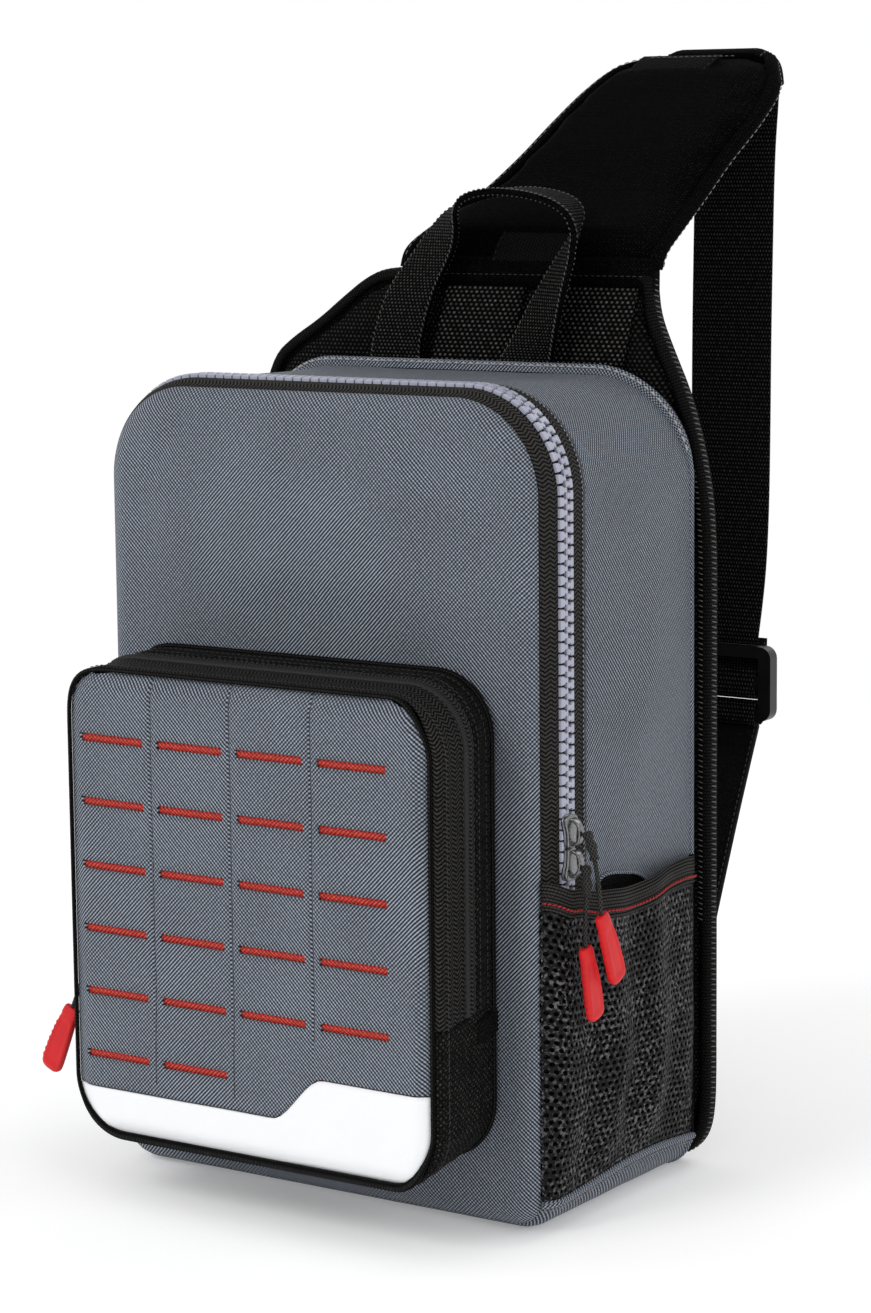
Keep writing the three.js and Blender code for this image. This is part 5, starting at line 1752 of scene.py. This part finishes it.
def panel_outline(step):
    """The back panel's outline as (x, z, nx, nz), with even places between its rounded corners."""
    corners = [Vector((side * PANEL_HALF, high * PANEL_HEIGHT)) for side, high in PANEL_TABLE]
    for _ in range(2):
        ring = []
        for a, b in zip(corners, corners[1:] + corners[:1]):
            share = min(0.25, 7.0 / (b - a).length)
            ring += [a.lerp(b, share), b.lerp(a, share)]
        corners = ring
    places = []
    for a, b in zip(corners, corners[1:] + corners[:1]):
        count = max(1, round((b - a).length / step))
        places += [a.lerp(b, k / count) for k in range(count)]
    out = []
    for i, place in enumerate(places):
        way = (places[(i + 1) % len(places)] - places[i - 1]).normalized()
        out.append((place.x, place.y, way.y, -way.x))
    return out


def panel_point(place, inset, y):
    x, z, nx, nz = place
    return Vector((x - nx * inset, y, z - nz * inset))


# Quilting of the padded back, and how high its air mesh reaches
CHANNELS_UP, CHANNELS_ACROSS = (-58, 0, 58), (52, 130, 208, 286)
CHANNEL_WIDTH, CHANNEL_DEPTH, MESH_TOP = 4.2, 3.6, 300.0


def back_pad():
    places = panel_outline(6.0)
    profile = [(6.5, PANEL_FRONT + 0.8), (2.4, PANEL_FRONT + 2.8), (1.4, PANEL_MIDDLE),
               (2.4, PANEL_BACK - 2.8), (6.5, PANEL_BACK - 1.0)]
    rings = [[panel_point(place, inset, y) for place in places] for inset, y in profile]
    obj = grid("back_pad", rings, finish("strap_cloth"), wrap_cols=True, caps=True,
               centre=(0, PANEL_MIDDLE, 180))

    def keep(p):
        pressed = 0.0
        if 40 < p.z < 285:
            pressed += sum(math.exp(-((p.x - x) / CHANNEL_WIDTH) ** 2) for x in CHANNELS_UP)
        if abs(p.x) < 84:
            pressed += sum(math.exp(-((p.z - z) / CHANNEL_WIDTH) ** 2) for z in CHANNELS_ACROSS)
        if p.y > PANEL_MIDDLE + 2:
            p.y -= CHANNEL_DEPTH * min(1.0, pressed)
        p.y = min(max(p.y, PANEL_FRONT + 0.1), PANEL_BACK + 3.0)
        return p

    def across(p, n):
        return p.x + (p.y if abs(n.x) > 0.7 else 0), p.z + (p.y if abs(n.z) > 0.7 else 0)

    pad(obj, 4.5, keep, across, ("strap_cloth", "spacer_mesh", "yoke_cloth"), "back_panel")
    for poly in obj.data.polygons:
        if poly.normal.y > 0.4 and poly.center.z < MESH_TOP * MM:
            poly.material_index = 1
        elif poly.normal.y < -0.4:
            poly.material_index = 2


def back_edge_cloth():
    """The panel's cloth where it runs on inside the tape."""
    rows = [[panel_point(place, inset, PANEL_MIDDLE) for inset in (1.2, 4.5, 8.0)]
            for place in panel_outline(4.0)]
    grid("back_edge_cloth", rows, finish("black_cloth"), wrap_rows=True, thickness=0.8, slot="black_fabric")


def back_binding():
    """The tape folded over the panel's edge, with its stitches."""
    places = panel_outline(3.0)
    section = [(4.6, -3.4), (3.0, -4.1), (1.0, -3.9), (0.15, -2.6), (0.0, 0.0), (0.15, 2.6), (1.0, 3.9),
               (3.0, 4.3), (4.6, 3.6), (3.4, 0.0)]
    rows = [[panel_point(place, inset, PANEL_MIDDLE + y) for inset, y in section] for place in places]
    square_up(grid("back_binding", rows, finish("binding"), wrap_rows=True, wrap_cols=True,
                   node="back_panel_binding", slot="black_webbing"))
    line = [panel_point(place, 2.6, PANEL_MIDDLE + 4.45) for place in places]
    seam("back_binding_stitches", [(line, [Vector((0, 1, 0))] * len(places), True)], finish("dark_thread"),
         3.4, slot="black_webbing")
    line = [panel_point(place, 0.1, PANEL_MIDDLE) for place in places]
    cross_stitches("back_edge_stitches", line, outward(places), True, 4.2)
    seen = [place for place in places if place[0] > 0 and 100 < place[1] < 300]
    front = [panel_point(place, 4.0, PANEL_MIDDLE - 3.9) for place in seen]
    cross_stitches("back_front_stitches", front, [Vector((0, -1, 0))] * len(front), False, 2.6)


class BAG_OT_back(Operator):
    """Adds the padded back with its yoke and the tape round its edge"""

    bl_idname = "bag.back"
    bl_label = "Padded back"

    def execute(self, context):
        back_pad()
        back_edge_cloth()
        back_binding()
        return {"FINISHED"}


# Webbing, handle and strap


def ribbon_rows(rows, across_steps):
    """Sections of a flat band: each row has centre, across, half, thickness, and maybe level."""
    out, frames = [], []
    line = [(-1 + 2 * k / across_steps) * 0.985 for k in range(across_steps + 1)]
    sides = [(-1.0, -0.4)] + [(x, -1.0) for x in line] + [(1.0, -0.4), (1.0, 0.4)]
    sides += [(x, 1.0) for x in reversed(line)] + [(-1.0, 0.4)]
    for i, row in enumerate(rows):
        centre, across, half, thick = row[:4]
        level = len(row) > 4 and row[4]
        before, after = rows[max(0, i - 1)][0], rows[min(len(rows) - 1, i + 1)][0]
        way = (after - before).normalized()
        normal = across.cross(way).normalized()
        ring = []
        for a, b in sides:
            point = centre + across * (a * half) + normal * (b * thick / 2)
            if level:
                point.z = centre.z
            ring.append(point)
        out.append(ring)
        frames.append((way, normal))
    return out, frames


def flat_band(name, rows, finish_name, slot, node=None, across_steps=6, side_finish=None):
    rings, frames = ribbon_rows(rows, across_steps)
    us = lengths_along(rings[len(rings) // 2], True)
    obj = grid(name, rings, finish(finish_name), wrap_cols=True, caps=True, us=us, node=node, slot=slot)
    if side_finish:
        obj.data.materials.append(finish(side_finish))
        count = len(rings[0])
        sides = (0, across_steps + 1, across_steps + 2, across_steps + 3, count - 2, count - 1)
        for poly in list(obj.data.polygons)[:(len(rings) - 1) * count]:
            poly.material_index = 1 if poly.index % count in sides else 0
    square_up(obj)
    return obj, frames


def edge_runs(rows, frames):
    """Lines along both edges of a flat band, on both of its faces."""
    runs = []
    for edge in (-0.95, 0.95):
        for face in (-1, 1):
            line = [row[0] + row[1] * (edge * row[2]) + normal * (face * (row[3] / 2 + 0.1))
                    for row, (_, normal) in zip(rows, frames)]
            runs.append((line, [normal * face for _, normal in frames], False))
    return runs


HANDLE_TABLE = [
    (-0.5, 0, 0), (-0.49, 0.12, 0.02), (-0.44, 0.28, 0.04), (-0.362, 0.446, 0.08), (-0.197, 0.65, 0.21),
    (-0.108, 0.776, 0.36), (-0.02, 0.885, 0.58), (0.15, 0.965, 0.85), (0.387, 1, 1), (0.64, 0.985, 0.97),
    (0.83, 0.94, 0.9), (0.925, 0.87, 0.8), (0.935, 0.77, 0.67), (0.895, 0.68, 0.58), (0.852, 0.6, 0.5),
    (0.738, 0.4, 0.355), (0.626, 0.2, 0.2), (0.54, 0.08, 0.06), (0.5, 0, 0),
]
HANDLE_SPAN, HANDLE_RISE, HANDLE_WIDTH, HANDLE_THICKNESS = 62.7, 71.5, 25.0, 2.4
HANDLE_FOOT_Y, HANDLE_CENTRE, HANDLE_LEAN = 51.6, -3.15, 10.0


def handle():
    rows, half = [], HANDLE_WIDTH / 2
    for side, high, turn in filled(HANDLE_TABLE, 5):
        angle = turn * math.pi / 2
        y = HANDLE_FOOT_Y - half * math.sin(angle) + HANDLE_LEAN * high * high
        rows.append((Vector((HANDLE_CENTRE + side * HANDLE_SPAN, y, BODY_HEIGHT + GAP + high * HANDLE_RISE)),
                     Vector((math.cos(angle), -math.sin(angle), 0)), half, HANDLE_THICKNESS, high <= 0))
    _, frames = flat_band("handle", rows, "handle_webbing", "black_webbing", "grab_handle", 6,
                          "strap_cloth")
    seam("handle_stitches", edge_runs(rows, frames), finish("edge_thread"), 2.3, 0.66, 0.9, radius=0.28,
         slot="black_webbing")


def yoke_webbing():
    for name, low, high in (("yoke_webbing_left", -1.5, 7.5), ("yoke_webbing_right", 52.5, 60.0)):
        rows = []
        for k in range(13):
            t = k / 12
            rows.append((Vector((low + (high - low) * t, 56.0 - 0.2 * math.sin(math.pi * t),
                                 323.4 + 32.9 * t)),
                         Vector((1, 0, 0)), WEBBING_HALF, 2.0))
        flat_band(name.replace("yoke", "yoke_band"), rows, "webbing", "black_webbing", name)


STRAP_TABLE = [
    (0, 0, -0.345, 0.745, 0.8), (0.03, 0.09, -0.33, 0.753, 1), (0.15, 0.2, -0.268, 0.765, 1),
    (0.31, 0.33, -0.172, 0.775, 1), (0.47, 0.51, -0.075, 0.811, 1), (0.65, 0.69, -0.012, 0.852, 1),
    (0.81, 0.845, 0.05, 0.86, 0.95), (0.92, 0.95, 0.125, 0.812, 0.85), (1, 1, 0.25, 0.77, 0.6),
]
STRAP_STEPS, STRAP_ACROSS, STRAP_THICKNESS = 6, 14, 9.0
ACROSS = Vector((1, 0, 0))


def strap_rows():
    rows = []
    for reach, rise, left, right, thick in filled(STRAP_TABLE, STRAP_STEPS):
        centre = Vector(((left + right) / 2 * STRAP_WIDTH, STRAP_FOOT_Y + reach * STRAP_DEPTH,
                         STRAP_FOOT_Z + rise * STRAP_RISE))
        rows.append((centre, ACROSS, (right - left) / 2 * STRAP_WIDTH, STRAP_THICKNESS * thick, rise <= 0))
    return rows


def strap_place(at, x, lift):
    """A point on the strap's upper face: at is the place along its table, x is across, in millimetres."""
    rows = strap_rows()
    at = min(len(rows) - 1.001, max(0.0, at * STRAP_STEPS))
    i = int(at)
    a, b = rows[i], rows[i + 1]
    centre = a[0].lerp(b[0], at - i)
    way = (b[0] - a[0])
    way = Vector((0, way.y, way.z)).normalized()
    normal = ACROSS.cross(way)
    half = a[3] / 2 + (b[3] - a[3]) / 2 * (at - i)
    return Vector((x, centre.y, centre.z)) + normal * (half + lift), normal, way


def strap_section(row, i, rows):
    """Points round the strap: full in the middle, thin where its two edges are sewn."""
    centre, across, half, thick, level = row
    before, after = rows[max(0, i - 1)][0], rows[min(len(rows) - 1, i + 1)][0]
    normal = across.cross(Vector((0, after.y - before.y, after.z - before.z)).normalized())
    ring = []
    for face in (-1, 1):
        for k in range(STRAP_ACROSS + 1):
            a = (-1 + 2 * k / STRAP_ACROSS) * -face
            full = 0.36 + 0.64 * smooth_step((1 - abs(a)) * half / 13)
            point = centre + across * (a * (half - 1.0)) + normal * (face * full * (thick - 1.6) / 2)
            if level:
                point.z = centre.z
            ring.append(point)
    return ring


def strap_pad():
    rows = strap_rows()
    rings = [strap_section(row, i, rows) for i, row in enumerate(rows)]
    obj = grid("strap_pad", rings, finish("strap_cloth"), wrap_cols=True, caps=True)
    square_up(obj)

    def keep(p):
        p.z = max(p.z, STRAP_FOOT_Z)
        return p

    pad(obj, 3.2, keep, lambda p, n: (p.x, p.y * 0.6 + p.z * 0.8), ("strap_cloth",), "shoulder_strap")


def strap_edges():
    """Tape folded over both edges of the strap."""
    rows = strap_rows()
    for side, name in ((-1, "left"), (1, "right")):
        rings = []
        for i, (centre, across, half, *_) in enumerate(rows):
            before, after = rows[max(0, i - 1)][0], rows[min(len(rows) - 1, i + 1)][0]
            way = Vector((0, after.y - before.y, after.z - before.z)).normalized()
            normal = across.cross(way)
            edge = centre + across * (side * half)
            ring = []
            for a, b in ((-6.0, 2.0), (-4.6, 2.6), (-2.0, 2.3), (-0.4, 1.5), (0.1, 0.0), (-0.4, -1.5),
                         (-2.0, -2.3), (-4.6, -2.6), (-6.0, -2.0), (-5.0, 0.0)):
                ring.append(edge + across * (side * a) + normal * b)
            if i == 0:
                for p in ring:
                    p.z = max(p.z, STRAP_FOOT_Z)
            rings.append(ring)
        square_up(grid(f"strap_edge_{name}", rings, finish("strap_cloth"), wrap_cols=True, caps=True,
                       slot="black_webbing"))


def strap_trims():
    """The webbing down the strap's middle, the light stitch lines and the two red bar tacks."""
    rows, line_right, over = [], [], []
    places = 44
    for k in range(places + 1):
        at = 0.25 + 7.05 * k / places
        x = 26.5 + 22 * (at / 7.5) ** 1.1
        point, normal, way = strap_place(at, x, 0.9)
        rows.append((point, ACROSS, WEBBING_HALF, 1.6))
        line_right.append(point + ACROSS * 17.8 + normal * 0.9)
        over.append(normal)
    flat_band("strap_middle_webbing", rows, "strap_ribs", "black_webbing")
    line_left = [p - ACROSS * 35.6 for p in line_right]
    seam("strap_middle_stitches", [(line_right, over, False), (line_left, over, False)],
         finish("black_thread"), 3.0, 0.5, radius=0.2, slot="black_webbing")
    runs = []
    for side in (-1, 1):
        line, normals = [], []
        for centre, _, half, thick, _ in strap_rows()[1:-1]:
            at = (len(line) + 1) / STRAP_STEPS
            if side > 0:
                point, normal, way = strap_place(at, centre.x + half + 0.1, 0.0)
                line.append(point - normal * (thick / 2 + 1.0))
                normals.append(ACROSS)
            else:
                point, normal, way = strap_place(at, centre.x - half + 3.0, 0.0)
                line.append(point - normal * (thick / 2 - 2.75))
                normals.append(normal)
        runs.append((line, normals, False))
    seam("strap_edge_stitches", runs, finish("light_thread"), 3.2, radius=0.22, slot="black_webbing")
    for name, at, x in (("bar_tack_lower", 2.72, 28.9), ("bar_tack_upper", 4.78, 41.6)):
        points, faces = [], []
        for k in range(46):
            spot, normal, way = strap_place(at - 0.22 * (k / 45 - 0.5), x - 18.4 + 36.8 * k / 45, 2.0)
            lean = Vector((0.35, 0, 0))
            add_stitch(points, faces, spot, (way + lean).normalized(), normal, 2.4, 0.5)
        piece(name.replace("bar", "red_bar"), points, faces, finish("shaded_tack_thread"), node=name,
              slot="red_fabric")


def strap_root():
    """The band sewn over the joint between the yoke and the strap."""
    left, right = -0.325 * STRAP_WIDTH, 0.726 * STRAP_WIDTH
    section = [(-5.1, -8.6), (-5.5, -1.0), (-5.0, 3.6), (-3.8, 5.0), (3.8, 5.0), (5.0, 3.6), (5.5, -1.0),
               (5.1, -8.6), (3.0, -9.0), (-3.0, -9.0)]
    rows = []
    for k in range(25):
        x = left + (right - left) * k / 24
        pinch = 1 - 0.55 * (abs(2 * k / 24 - 1) ** 8)
        rows.append([Vector((x, STRAP_FOOT_Y + y * pinch, STRAP_FOOT_Z + z)) for y, z in section])
    square_up(grid("strap_root", rows, finish("strap_cloth"), wrap_cols=True, caps=True,
                   slot="black_webbing"))
    line = [Vector((left + 3 + (right - left - 6) * k / 30, STRAP_FOOT_Y - 5.6, STRAP_FOOT_Z - 2.4))
            for k in range(31)]
    back = [Vector((p.x, STRAP_FOOT_Y + 5.6, p.z)) for p in line]
    seam("strap_root_stitches",
         [(line, [Vector((0, -1, 0))] * 31, False), (back, [Vector((0, 1, 0))] * 31, False)],
         finish("dark_thread"), 2.8, radius=0.22, slot="black_webbing")


FOLD_TABLE = [(0.1, -0.1), (2.0, -1.2), (6.2, -1.6), (10.0, 1.4), (11.6, 7.0)]
STRAP_TIP_Y, STRAP_TIP_Z, STRAP_TIP_X, FOLD_FLAT = 153.3, 447.3, 58.65, 17.0


def fold_corner(point):
    """Rounds the two corners of the folded end."""
    past = abs(point.x - STRAP_TIP_X) - FOLD_FLAT
    return point - Vector((0, 0, 0.05 * past * past)) if past > 0 else point


def strap_fold():
    rows = [(Vector((STRAP_TIP_X, STRAP_TIP_Y + back, STRAP_TIP_Z - down)), ACROSS, 26.0, 5.8)
            for back, down in filled(FOLD_TABLE, 6)]
    obj, frames = flat_band("strap_fold", rows, "strap_cloth", "black_fabric", "strap_end_fold", 26)
    for v in obj.data.vertices:
        v.co = fold_corner(v.co / MM) * MM
    runs = []
    for edge in (-0.88, 0.88):
        line = [fold_corner(row[0] + ACROSS * (edge * row[2])) + f[1] * (row[3] / 2 + 0.1)
                for row, f in zip(rows, frames)]
        runs.append((line, [f[1] for f in frames], False))
    spots = [strap_place(7.15, 33.0 + 41.0 * k / 30, 1.9) for k in range(31)]
    runs.append(([spot[0] for spot in spots], [spot[1] for spot in spots], False))
    seam("strap_fold_stitches", runs, finish("edge_thread"), 2.6, radius=0.22, slot="black_webbing")


WEBBING_TABLE = [(165.0, 1), (163.0, 0.95), (160.0, 0.8), (159.5, 0.4), (157.0, 0.15), (150.0, 0.0)]


def webbing():
    top, bottom = STRAP_TIP_Z - 7.6, ADJUSTER_TOP + GAP
    rows = []
    for y, high in filled(WEBBING_TABLE, 10):
        x = WEBBING_X - 1.9 * (1 - high)
        sway = 0.5 * math.sin(high * 9.0)
        rows.append((Vector((x, y + sway * high * (1 - high) * 4, bottom + high * (top - bottom))), ACROSS,
                     WEBBING_HALF, 1.7))
    flat_band("webbing_drop", rows, "strap_webbing", "black_webbing", "strap_webbing")


class BAG_OT_handle(Operator):
    """Adds the carry handle and the two bands of webbing beside it"""

    bl_idname = "bag.handle"
    bl_label = "Handle and yoke webbing"

    def execute(self, context):
        handle()
        yoke_webbing()
        return {"FINISHED"}


class BAG_OT_strap(Operator):
    """Adds the padded strap with its edges, stitches, bar tacks and folded end"""

    bl_idname = "bag.strap"
    bl_label = "Shoulder strap"

    def execute(self, context):
        strap_pad()
        strap_root()
        strap_edges()
        strap_trims()
        strap_fold()
        return {"FINISHED"}


WING_TABLE = [(0, 0), (0, 0.175), (0.1, 0.263), (0.5, 0.603), (0.8, 0.844), (1, 1)]
WING_BOTTOM, WING_BASE_WIDTH, WING_THICKNESS = 76.0, 54.0, 3.0


def wing():
    """The sewn wing that runs from the panel up to the adjuster."""
    right, tip = PANEL_HALF * 0.95, WEBBING_X - 1 + WEBBING_HALF
    top = ADJUSTER_TOP - ADJUSTER_HEIGHT - 0.6 * WING_THICKNESS
    base = PANEL_BACK + GAP + WING_THICKNESS / 2
    rows = []
    for reach, high in filled(WING_TABLE, 6):
        width = WING_BASE_WIDTH + (2 * WEBBING_HALF - WING_BASE_WIDTH) * reach
        edge = right + (tip - right) * reach
        rows.append((Vector((edge - width / 2, base + max(0.0, reach) * (ADJUSTER_Y - base),
                             WING_BOTTOM + high * (top - WING_BOTTOM))), ACROSS, width / 2, WING_THICKNESS))
    _, frames = flat_band("lower_wing", rows, "black_cloth", "black_fabric", "strap_lower_wing")
    seam("lower_wing_stitches", edge_runs(rows, frames), finish("dark_thread"), 3.2, slot="black_webbing")


# Webbing round the adjuster's middle and lower bars: back and up from the adjuster's lower edge
LOOP_PATH = [(4.9, 33.5), (4.6, 28.5), (1.5, 23.5), (-3.2, 20.6), (-4.5, 16.0), (-3.2, 11.6), (0.5, 9.6),
             (3.6, 12.0), (4.6, 16.5), (6.2, 24.0), (6.9, 34.5)]
TAB_PATH = [(0.2, -1.6), (-3.6, -0.8), (-4.6, 2.5), (-3.6, 6.4), (0.0, 8.1), (3.6, 6.4), (4.6, 2.5),
            (3.6, -0.8), (1.6, -1.5)]


def adjuster():
    """The moulded adjuster keeps its solid, with rounded edges, and gets the webbing round its bars."""
    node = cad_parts["strap_adjuster"]
    node.data.materials.clear()
    node.data.materials.append(finish("buckle"))
    edge = node.modifiers.new("Edges", "BEVEL")
    edge.width, edge.segments, edge.limit_method = 0.9 * MM, 3, "ANGLE"
    x, low = WEBBING_X - 1, ADJUSTER_TOP - ADJUSTER_HEIGHT
    for name, path in (("adjuster_loop", LOOP_PATH), ("adjuster_tab", TAB_PATH)):
        rows = [(Vector((x, ADJUSTER_Y + y, low + z)), ACROSS, WEBBING_HALF, 1.3) for y, z in filled(path, 4)]
        flat_band(name, rows, "strap_webbing", "black_webbing")


class BAG_OT_hardware(Operator):
    """Adds the strap's webbing, the adjuster with its loops and the lower wing"""

    bl_idname = "bag.hardware"
    bl_label = "Webbing, adjuster and wing"

    def execute(self, context):
        webbing()
        adjuster()
        wing()
        return {"FINISHED"}


STEPS = (
    BAG_OT_stage, BAG_OT_pulls, BAG_OT_body, BAG_OT_main_zip, BAG_OT_pocket_face, BAG_OT_pocket_sides,
    BAG_OT_side_pocket, BAG_OT_back, BAG_OT_handle, BAG_OT_strap, BAG_OT_hardware,
)


class BAG_PT_parts(Panel):
    """Lists the steps that build the bag"""

    bl_idname = "BAG_PT_parts"
    bl_label = "Sling bag"
    bl_space_type = "VIEW_3D"
    bl_region_type = "UI"
    bl_category = "Sling bag"

    def draw(self, context):
        for step in STEPS:
            self.layout.operator(step.bl_idname)
        for group in (context.scene.bag_sizes, context.scene.bag_colours):
            for name in group.bl_rna.properties.keys():
                if name not in ("rna_type", "name"):
                    self.layout.prop(group, name)


CLASSES = (BagSizes, BagColours, *STEPS, BAG_PT_parts)


def register():
    for item in CLASSES:
        bpy.utils.register_class(item)
    bpy.types.Scene.bag_sizes = PointerProperty(type=BagSizes)
    bpy.types.Scene.bag_colours = PointerProperty(type=BagColours)


def unregister():
    del bpy.types.Scene.bag_colours
    del bpy.types.Scene.bag_sizes
    for item in reversed(CLASSES):
        bpy.utils.unregister_class(item)


def main():
    register()
    for step in STEPS:
        group, name = step.bl_idname.split(".")
        getattr(getattr(bpy.ops, group), name)()


if __name__ == "__main__":
    main()
